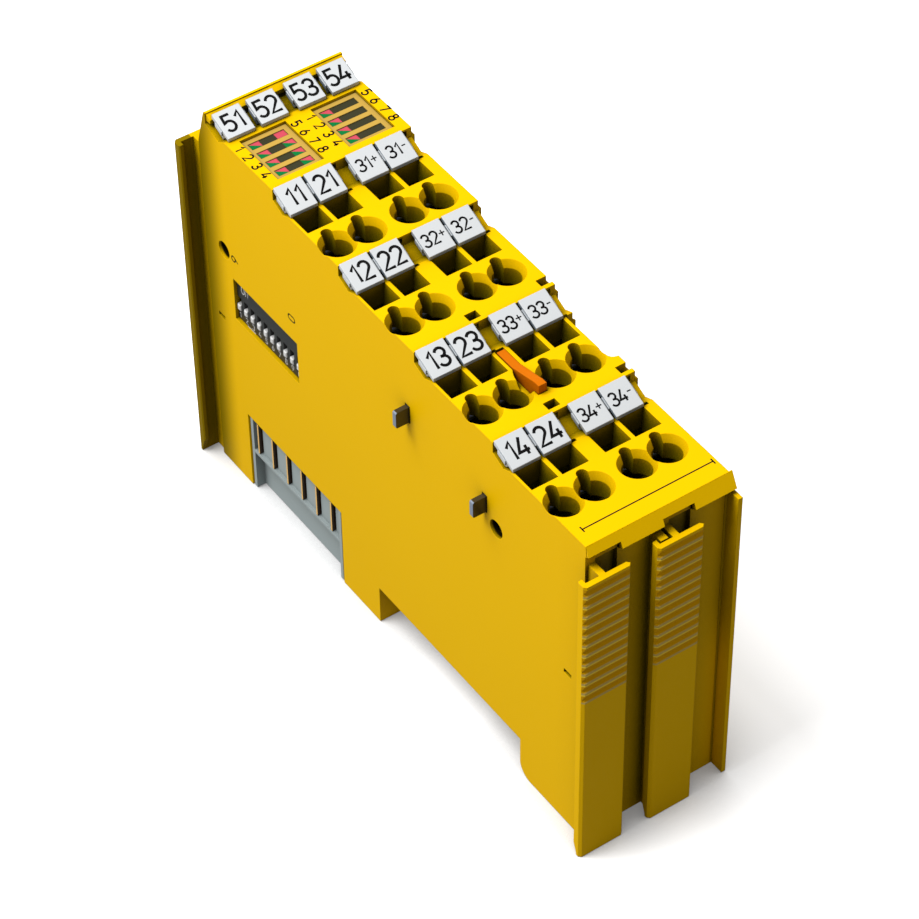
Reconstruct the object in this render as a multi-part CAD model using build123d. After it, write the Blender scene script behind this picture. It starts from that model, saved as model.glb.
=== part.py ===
"""Rail-mounted safety output module, double width, with spring clamps for sixteen wires.

X runs along the mounting rail, Y along the module from its last clamp row to its lights, and Z
out of its front. The origin is the middle of the seat that meets the rail's two flanges.
"""
import math
import os

from build123d import *

# Overall sizes, in millimetres
UNIT_WIDTH = 12.0
UNITS = 2
LENGTH = 100.0
DEPTH = 69.8
RAIL_DEPTH = 7.2
RAIL_TO_NEAR_GRIP = 35.4
RAIL_WIDTH = 35.0
RAIL_SHEET = 1.0
RAIL_CLEARANCE = 0.3

WIDTH = UNIT_WIDTH * UNITS
LEFT = -WIDTH / 2
RIGHT = WIDTH / 2
BACK = -RAIL_DEPTH
RIM_TOP = DEPTH - RAIL_DEPTH
NEAR_GRIP = -RAIL_TO_NEAR_GRIP
FAR_GRIP = NEAR_GRIP + LENGTH
UNIT_STARTS = [LEFT + UNIT_WIDTH * unit for unit in range(UNITS)]

# Housing shell
WALL = 1.0
FLOOR = 1.2
COVER = 1.0
SEAM = 0.05
FRONT_INSET = 0.55
GRIP_REACH = 3.2
END_RECESS = 0.8
END_RECESS_WIDTH = 5.15
SKIRT_HEIGHT = 3.1
SKIRT_OUT = 0.4
SKIRT_NOTCH = 1.2
FOOT_ROUND = 2.5
FRONT_SINK = 1.6
OVERCUT = 1.0
NEAR_WALL = NEAR_GRIP + GRIP_REACH
FAR_WALL = FAR_GRIP - GRIP_REACH
COVER_SEAT = RIGHT - COVER

# Stepped front: a row of tags bridges each step
RIM_THICKNESS = 0.45
RIM_SETBACK = 1.9
RIM_STEP = 1.9
ROW_STEP = 2.2
ROWS = 4
ROW_PITCH = 18.3
FIRST_ROW_PITCH = 16.4
RIM_TO_LIGHTS = 17.55
CHANNEL_WIDTH = 4.0
CHANNEL_LOW = 2.4
CHANNEL_DROP = 1.8
CHANNEL_DEPTH = 2.9
RIM_CHANNEL_EXTRA = 1.0
LIGHTS_FACE = RIM_TOP - RIM_STEP
RIM_CHANNEL = FAR_WALL - RIM_SETBACK - RIM_THICKNESS
RIM_TAGS = RIM_CHANNEL - RIM_CHANNEL_EXTRA
LIGHTS_END = RIM_CHANNEL - RIM_TO_LIGHTS
ROW_CHANNELS = [LIGHTS_END] + [LIGHTS_END - FIRST_ROW_PITCH - ROW_PITCH * row for row in range(ROWS - 1)]
ROW_FACES = [LIGHTS_FACE - ROW_STEP * (row + 1) for row in range(ROWS)]

# Clamp cells, two to a unit in each row
CELLS_PER_UNIT = 2
CELL_PITCH = 5.0
FIRST_CELL = 2.5
CELL_WIDTH = 4.3
CELL_DEPTH = 17.0
FRONT_THICKNESS = 4.0
CELL_NEAR = 15.4
CELL_FAR = 3.6
SLOT_NEAR = 8.35
SLOT_LENGTH = 4.2
FUNNEL_CENTRE = 12.5
FUNNEL_RADIUS = 2.8
FUNNEL_DEPTH = 1.15
WIRE_RADIUS = 2.14
NOTCH_RADIUS = 0.82
NOTCH_REACH = 2.78
CELL_ROOM = 0.3
CELLS_X = [start + FIRST_CELL + CELL_PITCH * cell for start in UNIT_STARTS for cell in range(CELLS_PER_UNIT)]

# Test slots between the pairs
TEST_CENTRE = 10.6
TEST_WIDTH = 1.9
TEST_LENGTH = 1.4
TEST_FROM_STEP = 0.7
TEST_DEPTH = 6.0
MIDDLE_ROWS = range(1, ROWS - 1)

# Tags
TAG_WIDTH = 4.5
TAG_SHIFT = 0.15
RIM_TAG_FIRST = 2.75
RIM_TAG_PITCH = 5.65
TAG_THICKNESS = 0.7
TAG_OVERHANG = 0.45
TAG_RISE = 0.35
TAG_LEG_INSET = 0.7
TAG_LEG_SIDE = 0.3
TAG_LEG_SHORT = 0.3
TAG_SEAT = 0.1
TAG_LUG = 0.2
TAG_LUG_FROM_STEP = 2.9
TAG_LUG_LENGTH = 1.7
TAG_LUG_TOP = 0.25
TAG_LUG_THICKNESS = 0.7
TAG_GAP = 0.12
CLIP_POCKET_WIDTH = 0.9
CLIP_POCKET_HEIGHT = 1.0
CLIP_POCKET_DEPTH = 0.8
CLIP_POCKET_BELOW = 0.35
CLIP_SLIT = 0.3
RIM_TAGS_X = [start + RIM_TAG_FIRST + RIM_TAG_PITCH * tag
              for start in UNIT_STARTS for tag in range(CELLS_PER_UNIT)]
ROW_TAGS_X = [x - TAG_SHIFT for x in CELLS_X]

# Lights
WINDOW_START = 1.9
WINDOW_WIDTH = 7.75
WINDOW_LENGTH = 10.1
WINDOW_FROM_RIM = 6.0
WINDOW_SINK = 0.45
WINDOW_THICKNESS = 1.2
BAR_COUNT = 4
BAR_PITCH = 2.3
BAR_WIDTH = 1.25
BAR_LENGTH = 5.9
BAR_START = 0.85
FIT = 0.08
LED_WIDTH = 1.0
LED_LENGTH = 0.8
LED_HEIGHT = 0.6

# Side wall features
SIDE_HOLE_RADIUS = 1.45
SIDE_HOLE_DEPTH = 2.4
SIDE_HOLES = ((FAR_WALL - 5.0, RIM_TOP - 23.9), (NEAR_WALL + 20.0, RIM_TOP - 24.4))
SWITCH_FROM_FAR = 15.55
SWITCH_MIDDLE_Y = FAR_WALL - SWITCH_FROM_FAR
SWITCH_WINDOW_LENGTH = 17.1
SWITCH_WINDOW_HEIGHT = 7.9
SWITCH_WINDOW_LOW = 26.6
SLIT_HEIGHT = 0.7
SLIT_LENGTH = 1.7
SLIT_Z = 23.75
SLIT_FROM_NEAR = 2.6
SLIT_FROM_FAR = 2.05

# Address switch
SLIDERS = 10
SLIDER_PITCH = 1.77
SLIDER_WIDTH = 0.84
SLIDER_HEIGHT = 1.1
SLIDER_TRAVEL = 1.3
SLIDER_DEPTH = 1.5
SLIDER_PROUD = 0.25
SLIDER_REST_Z = 29.1
SLIDER_CLEARANCE = 0.08
SLIDER_CHAMFER = 0.15
SWITCH_MARGIN = 0.6
SWITCH_SEAT = 0.1
SWITCH_OVERLAP = 0.4
SWITCH_PLAY = 0.1
SWITCH_BACK = 0.5
SWITCH_FACE = LEFT + SWITCH_BACK

# Bus contacts
BUS_OPENING_LENGTH = 25.5
BUS_FROM_FAR = 8.4
BUS_OPENING_NEAR = FAR_WALL - BUS_FROM_FAR - BUS_OPENING_LENGTH
BUS_OPENING_TOP = 7.8
BUS_CLEARANCE = 0.4
BUS_SINK = 0.15
BUS_FLOAT = 0.1
BUS_COUNT = 6
BUS_PITCH = 4.0
BUS_FIRST = 1.7
BUS_SLOT = 0.75
BUS_STRIP = 0.35
BUS_LEDGE = 1.15
BUS_LEDGE_THICKNESS = 0.7
BUS_LIP = 0.05
BUS_PLAY = 0.05
BUS_FLANGE = 0.7
BUS_RECESS = 1.5
BUS_PANEL = 0.55
BUS_PAD = 2.0
BUS_PAD_THICKNESS = 0.5
BUS_PAD_BACK = 0.1
BUS_TOP_GAP = 0.4

# Power contacts
POWER_FROM_STEP = 2.0
POWER_BELOW_FACE = 13.0
POWER_THICKNESS = 0.8
POWER_HEIGHT = 2.9
POWER_REACH = 2.2
POWER_SLOT_CLEARANCE = 0.2
POWER_TIP = 0.2
FORK_LENGTH = 5.0
FORK_GAP = 0.9
FORK_FROM_COVER = 0.2

# Grips at both ends
GRIP_WIDTH = 7.65
GRIP_LEFT = -2.4
GRIP_PLATE = 0.85
GRIP_LIP = 1.65
GRIP_LIP_THICKNESS = 0.75
GRIP_WEB_LEFT = 0.5
GRIP_WEB_RIGHT = 1.55
GRIP_BELOW_ROW = 3.7
GRIP_BELOW_RIM = 7.55
RIB_COUNT = 12
RIB_PITCH = 1.89
RIB_DEPTH = 0.35
GRIP_CORNER = 0.4
GRIP_ROOT = 0.1
RIB_FIRST = 0.5
RIB_LENGTH = 0.75
RIB_PEAK = 0.5
LIP_END = ((0.85, 0.4), (1.5, 2.4), (2.15, 3.6))
TONGUE_LEFT = 10.7
TONGUE_RIGHT = 11.95
TONGUE_REACH = 2.1
FIN_REACH = 2.4
FIN_RISE = 0.55
FIN_THICKNESS = 0.7

# Circuit boards
BOARD_X = LEFT + 4.6
BOARD_THICKNESS = 1.6
BOARD_GAP = 0.2
BOARD_LOW = BUS_OPENING_TOP + BOARD_GAP
BOARD_TOP = ROW_FACES[-1] - CELL_DEPTH - CELL_ROOM
BOARD_RIB = 1.2
BOARD_RIB_DEPTH = 1.6
BOARD_GROOVE = 0.4
BOARD_GROOVE_PLAY = 0.15
BOARD_RIB_LOW = 4.0
BOARD_RIB_DROP = 2.0
TONGUE_INSET = 1.0
LED_BOARD_THICKNESS = 1.0
LED_BOARD_INSET = 0.3
LED_BOARD_SEAT = 0.02
LED_ROOM = 0.6
LED_FROM_END = 0.8
BAR_SINK = 0.1
BAR_DEEPER = 0.3
LED_BOARD_TOP = LIGHTS_FACE - WINDOW_SINK - WINDOW_THICKNESS - LED_ROOM - LED_HEIGHT

# Release tab and rail latch
TAB_X = -1.05
TAB_THICKNESS = 1.3
TAB_CLEARANCE = 0.12
TAB_NEAR = 14.4
TAB_LENGTH = 9.7
TAB_SLOT_FAR_GAP = 0.6
TAB_SLOT_DEEPER = 4.0
TAB_SCOOP_RADIUS = 4.5
TAB_SCOOP_REACH = 0.8
TAB_SCOOP_FROM_NEAR = 3.3
TAB_SCOOP_DEPTH = 1.2
EMPTY_SLOT_DEPTH = 7.0
EMPTY_SLOT_ROUND = 1.2
TAB_STEM = 6.4
TAB_TRAVEL = 3.0
TAB_PROUD = 0.15
TAB_WEDGE_RISE = 1.3
TAB_WEDGE_FLAT = 0.9
TAB_WEDGE_LENGTH = 6.2
TAB_HEAD = 7.0
STEM_ABOVE_FLOOR = 0.4
LATCH_TRAVEL = 2.0
LATCH_FLOAT = 0.2
LATCH_PLATE = 2.0
LATCH_WIDTH = 6.8
LATCH_FAR = 21.0
LATCH_END = 1.5
LATCH_SIDE_GAP = 0.3
LATCH_HOOK_NEAR = 18.0
LATCH_HOOK_LOW = -4.6
LATCH_NOSE = 16.6
LATCH_NOSE_TOP = -1.25
LATCH_NOSE_LOW = -2.2
LATCH_EAR_TOP = 7.2
LATCH_EAR_LENGTH = 4.0
LATCH_EAR_THICKNESS = 1.1
LATCH_EAR_ROOT = 0.5
PIN_IN_EAR = 0.5
PIN_RADIUS = 0.8
PIN_CLEARANCE = 0.08
PIN_Z = 5.9
HOOK_ROOM = 0.4
FIXED_HOOK = 1.3
FIXED_HOOK_ROOT = 0.5
FIXED_HOOK_ROOM = 0.25
FIXED_HOOK_FACE = 1.0
FIXED_HOOK_HEIGHT = 2.95
SPRING_SHEET = 0.3
SPRING_HEIGHT = 2.4
SPRING_TURNS = 4
SPRING_STOP = 26.2
SPRING_END_GAP = 0.1
SPRING_SIDE_GAP = 0.6

# Clamps: points of each bent strip, as (towards the near end from the step, below the clamp room's roof)
CLAMP_SIDE_GAP = 0.2
CLAMP_ROOF_GAP = 0.3
CLAMP_SPRING_SHEET = 0.4
CLAMP_BAR_SHEET = 0.6
CLAMP_SPRING_PATH = (
    (13.6, 5.2), (14.3, 1.2), (12.9, 3.2), (10.3, 9.8), (7.6, 11.2),
    (5.0, 10.4), (4.2, 7.4), (5.0, 2.0), (6.6, 0.5), (9.0, 0.6),
)
CLAMP_BAR_PATH = ((14.6, 11.6), (11.2, 11.6), (10.0, 12.3), (4.2, 12.3))


def box(x0, x1, y0, y1, z0, z1):
    """A block between two corners."""
    return Pos((x0 + x1) / 2, (y0 + y1) / 2, (z0 + z1) / 2) * Box(abs(x1 - x0), abs(y1 - y0), abs(z1 - z0))


def along_x(outline, x0, x1):
    """A (y, z) outline carried from x0 to x1."""
    return extrude(Plane.YZ.offset(x0) * make_face(Polyline(*outline, close=True)), x1 - x0)


def along_y(outline, y0, y1):
    """An (x, z) outline carried from y0 to y1."""
    return extrude(Plane.XZ.offset(-y1) * make_face(Polyline(*outline, close=True)), y1 - y0)


def along_z(outline, z0, z1):
    """An (x, y) outline carried from z0 to z1."""
    return extrude(Plane.XY.offset(z0) * make_face(Polyline(*outline, close=True)), z1 - z0)


def rod_x(radius, x0, x1, y, z):
    """A round bar or bore along X."""
    return Pos((x0 + x1) / 2, y, z) * Rot(0, 90, 0) * Cylinder(radius, x1 - x0)


def rod_z(radius, x, y, z0, z1):
    """A round bar or bore along Z."""
    return Pos(x, y, (z0 + z1) / 2) * Cylinder(radius, z1 - z0)


def ribbon(path, thickness):
    """The outline of bent sheet that follows a path, with mitred bends."""
    half = thickness / 2
    sides = ([], [])
    for index, point in enumerate(path):
        before = path[max(index - 1, 0)]
        after = path[min(index + 1, len(path) - 1)]
        normals = []
        for start, end in ((before, point), (point, after)):
            run = math.hypot(end[0] - start[0], end[1] - start[1])
            if run > 0:
                normals.append(((start[1] - end[1]) / run, (end[0] - start[0]) / run))
        total = (sum(n[0] for n in normals), sum(n[1] for n in normals))
        scale = half * len(normals) / (total[0] ** 2 + total[1] ** 2)
        sides[0].append((point[0] + total[0] * scale, point[1] + total[1] * scale))
        sides[1].append((point[0] - total[0] * scale, point[1] - total[1] * scale))
    return sides[0] + sides[1][::-1]


def step_points(channel, low, high, extra):
    """The (y, z) points of one tag channel, from the lower face up to the higher one."""
    return [
        (channel - CHANNEL_WIDTH, low),
        (channel - CHANNEL_LOW, high - CHANNEL_DEPTH),
        (channel + extra, high - CHANNEL_DROP),
        (channel + extra, high),
    ]


STEPS = [(RIM_TAGS, LIGHTS_FACE, RIM_TOP, RIM_CHANNEL_EXTRA)]
STEPS += [(y, z, z + ROW_STEP, 0) for y, z in zip(ROW_CHANNELS, ROW_FACES)]
SKIRT_Z = ROW_FACES[-1] - SKIRT_HEIGHT


def front_points(sink=0.0):
    """The stepped front from the near end to the far end, moved down by a sink."""
    points = []
    for step in reversed(STEPS):
        points += [(y, z - sink) for y, z in step_points(*step)]
    return points


def side_outline(near=NEAR_WALL, far=FAR_WALL, sink=0.0):
    """The whole module seen from the side, without grips."""
    half_rail = RAIL_WIDTH / 2 + RAIL_CLEARANCE
    if sink == 0:
        skirt = [(near - SKIRT_OUT, SKIRT_Z), (near, ROW_FACES[-1])]
    else:
        skirt = [(near, ROW_FACES[-1] - sink)]
    rim = [(RIM_CHANNEL + RIM_THICKNESS, RIM_TOP - sink),
           (far, RIM_TOP - GRIP_BELOW_RIM + SKIRT_NOTCH - sink)]
    rail = [(half_rail, BACK), (half_rail, 0), (-half_rail, 0), (-half_rail, BACK)]
    return [(near, BACK), (near, SKIRT_Z - sink)] + skirt + front_points(sink) + rim + [(far, BACK)] + rail


def cavity_outline():
    """The open inside below the clamp cells, seen from the side."""
    near = NEAR_WALL + END_RECESS + WALL
    far = FAR_WALL - END_RECESS - WALL
    half_rail = RAIL_WIDTH / 2 + RAIL_CLEARANCE
    outline = [(near, BACK + FLOOR), (near, ROW_FACES[-1] - CELL_DEPTH)]
    for row in range(ROWS - 1, 0, -1):
        outline += [
            (ROW_CHANNELS[row], ROW_FACES[row] - CELL_DEPTH),
            (ROW_CHANNELS[row], ROW_FACES[row - 1] - CELL_DEPTH),
        ]
    outline += [
        (LIGHTS_END + WALL, ROW_FACES[0] - CELL_DEPTH),
        (LIGHTS_END + WALL, LIGHTS_FACE - WINDOW_SINK - WINDOW_THICKNESS),
        (RIM_TAGS - CHANNEL_WIDTH, LIGHTS_FACE - WINDOW_SINK - WINDOW_THICKNESS),
        (far, RIM_TOP - GRIP_BELOW_RIM - WALL),
        (far, BACK + FLOOR),
        (half_rail + WALL, BACK + FLOOR),
        (half_rail + WALL, FLOOR),
        (-half_rail - WALL, FLOOR),
        (-half_rail - WALL, BACK + FLOOR),
    ]
    return outline


def cell_cut(x, row):
    """The room for one clamp, with its screwdriver slot, wire funnel and probe groove."""
    channel = ROW_CHANNELS[row]
    face = ROW_FACES[row]
    roof = face - FRONT_THICKNESS
    over = face + OVERCUT
    half = CELL_WIDTH / 2
    wire_y = channel - FUNNEL_CENTRE
    slot_y = channel - SLOT_NEAR
    room = box(x - half, x + half, channel - CELL_NEAR, channel - CELL_FAR, face - CELL_DEPTH - OVERCUT, roof)
    slot = box(x - half, x + half, slot_y, slot_y + SLOT_LENGTH, roof - OVERCUT, over)
    mouth = Pos(x, wire_y, face - FUNNEL_DEPTH / 2) * Cone(WIRE_RADIUS, FUNNEL_RADIUS, FUNNEL_DEPTH)
    wire = rod_z(WIRE_RADIUS, x, wire_y, roof - OVERCUT, face)
    groove = rod_z(NOTCH_RADIUS, x, wire_y + NOTCH_REACH, roof - OVERCUT, over)
    groove += box(x - NOTCH_RADIUS, x + NOTCH_RADIUS, wire_y, wire_y + NOTCH_REACH, roof - OVERCUT, over)
    return [room, slot, mouth, wire, groove]


def clip_pockets():
    """The small pocket and slit beside each pair of tags of a clamp row, where a tag strip clips in."""
    pockets = []
    for channel, low, high, _ in STEPS[1:]:
        top = high - CLIP_POCKET_BELOW
        near = channel - CHANNEL_WIDTH - CLIP_SLIT
        for x in ROW_TAGS_X[1::CELLS_PER_UNIT]:
            x0 = x + TAG_WIDTH / 2 + TAG_GAP
            x1 = x0 + CLIP_POCKET_WIDTH
            pockets.append(box(x0, x1, channel - OVERCUT, channel + CLIP_POCKET_DEPTH,
                               top - CLIP_POCKET_HEIGHT, top))
            pockets.append(box(x0, x1, near, near + 2 * CLIP_SLIT, low - CLIP_POCKET_HEIGHT, low + OVERCUT))
    return pockets


def foot_corner(x0, x1):
    """What is cut off to round the foot's corner beside the rail."""
    edge = -RAIL_WIDTH / 2 - RAIL_CLEARANCE
    corner = box(x0, x1, edge - FOOT_ROUND, edge + OVERCUT, BACK - OVERCUT, BACK + FOOT_ROUND)
    return corner - rod_x(FOOT_ROUND, x0, x1, edge - FOOT_ROUND, BACK + FOOT_ROUND)


def empty_tab_slot():
    """Half of the slot of a tab that the next module would need, open at the right side."""
    near, face = tab_place()
    x0 = TAB_X + UNIT_WIDTH - TAB_THICKNESS / 2 - TAB_CLEARANCE
    slot = box(x0, RIGHT + OVERCUT, near - TAB_CLEARANCE, near + TAB_LENGTH + TAB_SLOT_FAR_GAP,
               face - EMPTY_SLOT_DEPTH, face + OVERCUT)
    corner = slot.edges().filter_by(Axis.Z).sort_by(Axis.X)[:2].sort_by(Axis.Y)[0]
    return fillet(corner, EMPTY_SLOT_ROUND)


def light_windows():
    """The (x, y) low corners of the two light windows."""
    near = RIM_CHANNEL - WINDOW_FROM_RIM - WINDOW_LENGTH
    return [(start + WINDOW_START, near) for start in UNIT_STARTS]


def power_places():
    """The (y, z) middle of each power contact."""
    return [(ROW_CHANNELS[row + 1] + POWER_FROM_STEP, ROW_FACES[row] - POWER_BELOW_FACE)
            for row in MIDDLE_ROWS]


def tab_place():
    """The near end of the release tab's face and the height of the face around it."""
    return ROW_CHANNELS[2] - TAB_NEAR, ROW_FACES[2]


def pin_place():
    """The middle of the cam pin along Y: the stem lies under the far end of the tab."""
    near, _ = tab_place()
    return near + TAB_LENGTH - TAB_STEM / 2 - LATCH_TRAVEL / 2 - TAB_CLEARANCE


def stem_ends():
    """The two edges of the release tab's stem along Y."""
    near = pin_place() - TAB_STEM / 2 + LATCH_TRAVEL / 2
    return near, near + TAB_STEM


def housing_cuts():
    """Everything that is cut from the housing, apart from its main cavity."""
    cuts = clip_pockets() + [foot_corner(LEFT - OVERCUT, RIGHT), empty_tab_slot()]
    for row in range(ROWS):
        for x in CELLS_X:
            cuts += cell_cut(x, row)
    for row in MIDDLE_ROWS:
        near = ROW_CHANNELS[row + 1] + TEST_FROM_STEP
        for start in UNIT_STARTS:
            x = start + TEST_CENTRE
            cuts.append(box(x - TEST_WIDTH / 2, x + TEST_WIDTH / 2, near, near + TEST_LENGTH,
                            ROW_FACES[row] - TEST_DEPTH, ROW_FACES[row] + OVERCUT))
    for x, y in light_windows():
        cuts.append(box(x, x + WINDOW_WIDTH, y, y + WINDOW_LENGTH,
                        LIGHTS_FACE - WINDOW_SINK - WINDOW_THICKNESS - OVERCUT, LIGHTS_FACE + OVERCUT))
    through_wall = (LEFT - OVERCUT, LEFT + WALL + OVERCUT)
    for y, z in SIDE_HOLES:
        cuts.append(rod_x(SIDE_HOLE_RADIUS, LEFT - OVERCUT, LEFT + SIDE_HOLE_DEPTH, y, z))
    half = SWITCH_WINDOW_LENGTH / 2
    cuts.append(box(*through_wall, SWITCH_MIDDLE_Y - half, SWITCH_MIDDLE_Y + half,
                    SWITCH_WINDOW_LOW, SWITCH_WINDOW_LOW + SWITCH_WINDOW_HEIGHT))
    for y in (NEAR_WALL + SLIT_FROM_NEAR, FAR_WALL - SLIT_FROM_FAR - SLIT_LENGTH):
        cuts.append(box(*through_wall, y, y + SLIT_LENGTH, SLIT_Z, SLIT_Z + SLIT_HEIGHT))
    bus_y = (BUS_OPENING_NEAR, BUS_OPENING_NEAR + BUS_OPENING_LENGTH)
    cuts.append(box(LEFT - OVERCUT, RIGHT, *bus_y, BACK - OVERCUT, BACK + FLOOR + OVERCUT))
    cuts.append(box(*through_wall, *bus_y, BACK - OVERCUT, BUS_OPENING_TOP))
    half_y = POWER_THICKNESS / 2 + POWER_SLOT_CLEARANCE
    half_z = POWER_HEIGHT / 2 + POWER_SLOT_CLEARANCE
    fork_y = FORK_GAP / 2 + POWER_THICKNESS + POWER_SLOT_CLEARANCE
    for y, z in power_places():
        cuts.append(box(LEFT - OVERCUT, RIGHT, y - half_y, y + half_y, z - half_z, z + half_z))
        cuts.append(box(COVER_SEAT - FORK_LENGTH - POWER_THICKNESS - 2 * FORK_FROM_COVER, RIGHT,
                        y - fork_y, y + fork_y, z - half_z, z + half_z))
    tab_near, tab_face = tab_place()
    slot_left = TAB_X - TAB_THICKNESS / 2 - TAB_CLEARANCE
    cuts.append(box(slot_left, TAB_X + TAB_THICKNESS / 2 + TAB_CLEARANCE, tab_near - TAB_CLEARANCE,
                    tab_near + TAB_LENGTH + TAB_SLOT_FAR_GAP, tab_face - CELL_DEPTH - TAB_SLOT_DEEPER,
                    tab_face + OVERCUT))
    scoop = rod_z(TAB_SCOOP_RADIUS, slot_left + TAB_SCOOP_RADIUS - TAB_SCOOP_REACH,
                  tab_near + TAB_SCOOP_FROM_NEAR, tab_face - TAB_SCOOP_DEPTH, tab_face + OVERCUT)
    cuts.append(scoop & box(slot_left - TAB_SCOOP_REACH - OVERCUT, TAB_X, tab_near - TAB_CLEARANCE,
                            tab_near + TAB_LENGTH, tab_face - TAB_SCOOP_DEPTH, tab_face + OVERCUT))
    half_latch = LATCH_WIDTH / 2 + HOOK_ROOM
    cuts.append(box(TAB_X - half_latch, TAB_X + half_latch, LATCH_NOSE - HOOK_ROOM,
                    LATCH_FAR + LATCH_TRAVEL + HOOK_ROOM, BACK - OVERCUT, FLOOR + OVERCUT))
    return cuts


def end_recesses():
    """The shallow bays in both end walls, one behind each grip."""
    bays = []
    outside = NEAR_WALL - SKIRT_OUT - OVERCUT
    for start in UNIT_STARTS:
        sides = (start + GRIP_WEB_RIGHT, start + END_RECESS_WIDTH)
        bays.append(box(*sides, outside, NEAR_WALL + END_RECESS, BACK - OVERCUT, SKIRT_Z))
        bays.append(box(start, start + END_RECESS_WIDTH, outside, NEAR_WALL, SKIRT_Z - OVERCUT,
                        SKIRT_Z + SKIRT_NOTCH))
        bays.append(box(*sides, FAR_WALL - END_RECESS, FAR_WALL + OVERCUT, BACK - OVERCUT,
                        RIM_TOP - GRIP_BELOW_RIM))
    return bays


def grip_outline(start, sign, outer):
    """The (x, y) outline of one grip: a plate with a lip, carried on a web."""
    inner = outer + sign * GRIP_PLATE
    root = outer + sign * (GRIP_REACH + END_RECESS + GRIP_ROOT)
    lip = outer + sign * GRIP_LIP
    left = start + GRIP_LEFT
    right = left + GRIP_WIDTH
    web_left = start + GRIP_WEB_LEFT
    web_right = start + GRIP_WEB_RIGHT
    lip_right = left + GRIP_LIP_THICKNESS
    return [
        (left + GRIP_CORNER, outer), (right - GRIP_CORNER, outer), (right, outer + sign * GRIP_PLATE / 2),
        (right - GRIP_CORNER, inner), (web_right, inner), (web_right, root), (web_left, root),
        (web_left, inner), (lip_right, inner), (lip_right, lip), (left + GRIP_CORNER / 2, lip),
        (left, lip - sign * GRIP_CORNER / 2), (left, outer + sign * GRIP_CORNER),
    ]


def grip(start, sign, outer, top):
    """One grip with its ribs pressed into the plate's outer face."""
    body = along_z(grip_outline(start, sign, outer), BACK, top)
    left = start + GRIP_LEFT
    outside = outer - sign * OVERCUT
    for rib in range(RIB_COUNT):
        high = top - RIB_FIRST - RIB_PITCH * rib
        low = high - RIB_PITCH * RIB_LENGTH
        groove = [(outside, high), (outside, low), (outer, low),
                  (outer + sign * RIB_DEPTH, high - RIB_PITCH * RIB_PEAK), (outer, high)]
        body -= along_x(groove, left - OVERCUT, left + GRIP_WIDTH + OVERCUT)
    curve = [(outer + sign * reach, BACK + rise) for reach, rise in LIP_END]
    end = [(curve[0][0], BACK - OVERCUT)] + curve + [(curve[-1][0], BACK - OVERCUT)]
    return body - along_x(end, left - OVERCUT, left + GRIP_LIP_THICKNESS)


def fixed_hook():
    """The nose that holds the rail's near flange."""
    wall = -RAIL_WIDTH / 2 - RAIL_CLEARANCE
    nose = wall + FIXED_HOOK
    top = -RAIL_SHEET - FIXED_HOOK_ROOM
    low = top - FIXED_HOOK_HEIGHT
    outline = [(wall - FIXED_HOOK_ROOT, top), (nose, top), (nose, top - FIXED_HOOK_FACE), (wall, low),
               (wall - FIXED_HOOK_ROOT, low)]
    return along_x(outline, LEFT / 2, RIGHT / 2)


def board_rails():
    """Grooved ribs on both end walls that hold the main board, and the wall behind the latch spring."""
    near = NEAR_WALL + END_RECESS + WALL
    far = FAR_WALL - END_RECESS - WALL
    low = BACK + FLOOR + BOARD_RIB_LOW
    high = BOARD_TOP - BOARD_RIB_DROP
    sides = (BOARD_X - BOARD_RIB, BOARD_X + BOARD_THICKNESS + BOARD_RIB)
    rails = [box(*sides, near - BOARD_GAP, near + BOARD_RIB_DEPTH, low, high),
             box(*sides, far - BOARD_RIB_DEPTH, far + BOARD_GAP, low, high)]
    rails.append(box(TAB_X - LATCH_WIDTH / 2, TAB_X + LATCH_WIDTH / 2, SPRING_STOP, SPRING_STOP + WALL,
                     BACK + FLOOR - BOARD_GAP, FLOOR + SPRING_HEIGHT + WALL))
    return rails


def board_grooves():
    """The slots in the board rails."""
    near = NEAR_WALL + END_RECESS + WALL + BOARD_GROOVE
    far = FAR_WALL - END_RECESS - WALL - BOARD_GROOVE
    sides = (BOARD_X - BOARD_GROOVE_PLAY, BOARD_X + BOARD_THICKNESS + BOARD_GROOVE_PLAY)
    low = BOARD_LOW - BOARD_GAP
    return [box(*sides, near, near + BOARD_RIB_DEPTH + OVERCUT, low, BOARD_TOP),
            box(*sides, far - BOARD_RIB_DEPTH - OVERCUT, far, low, BOARD_TOP)]


def make_housing():
    """The moulded housing: left wall, stepped front, ends, back and grips in one piece."""
    body = along_x(side_outline(), LEFT, COVER_SEAT - SEAM)
    band = along_x(side_outline(), COVER_SEAT - SEAM, RIGHT - FRONT_INSET)
    beyond = (NEAR_WALL - GRIP_REACH, FAR_WALL + GRIP_REACH)
    band -= along_x(side_outline(*beyond, sink=FRONT_SINK), COVER_SEAT - OVERCUT, RIGHT)
    body += band
    body -= along_x(cavity_outline(), LEFT + WALL, RIGHT)
    body += board_rails()
    body -= board_grooves()
    body -= end_recesses()
    body -= housing_cuts()
    near_top = ROW_FACES[-1] - GRIP_BELOW_ROW
    far_top = RIM_TOP - GRIP_BELOW_RIM
    for start in UNIT_STARTS:
        body += grip(start, 1, NEAR_GRIP, near_top)
        body += grip(start, -1, FAR_GRIP, far_top)
    tongue_x = (LEFT + TONGUE_LEFT, LEFT + TONGUE_RIGHT)
    body += box(*tongue_x, NEAR_WALL - TONGUE_REACH, NEAR_WALL + WALL / 2, BACK, near_top)
    body += box(*tongue_x, FAR_WALL - WALL / 2, FAR_WALL + TONGUE_REACH, BACK, far_top)
    return body + fixed_hook()


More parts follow.
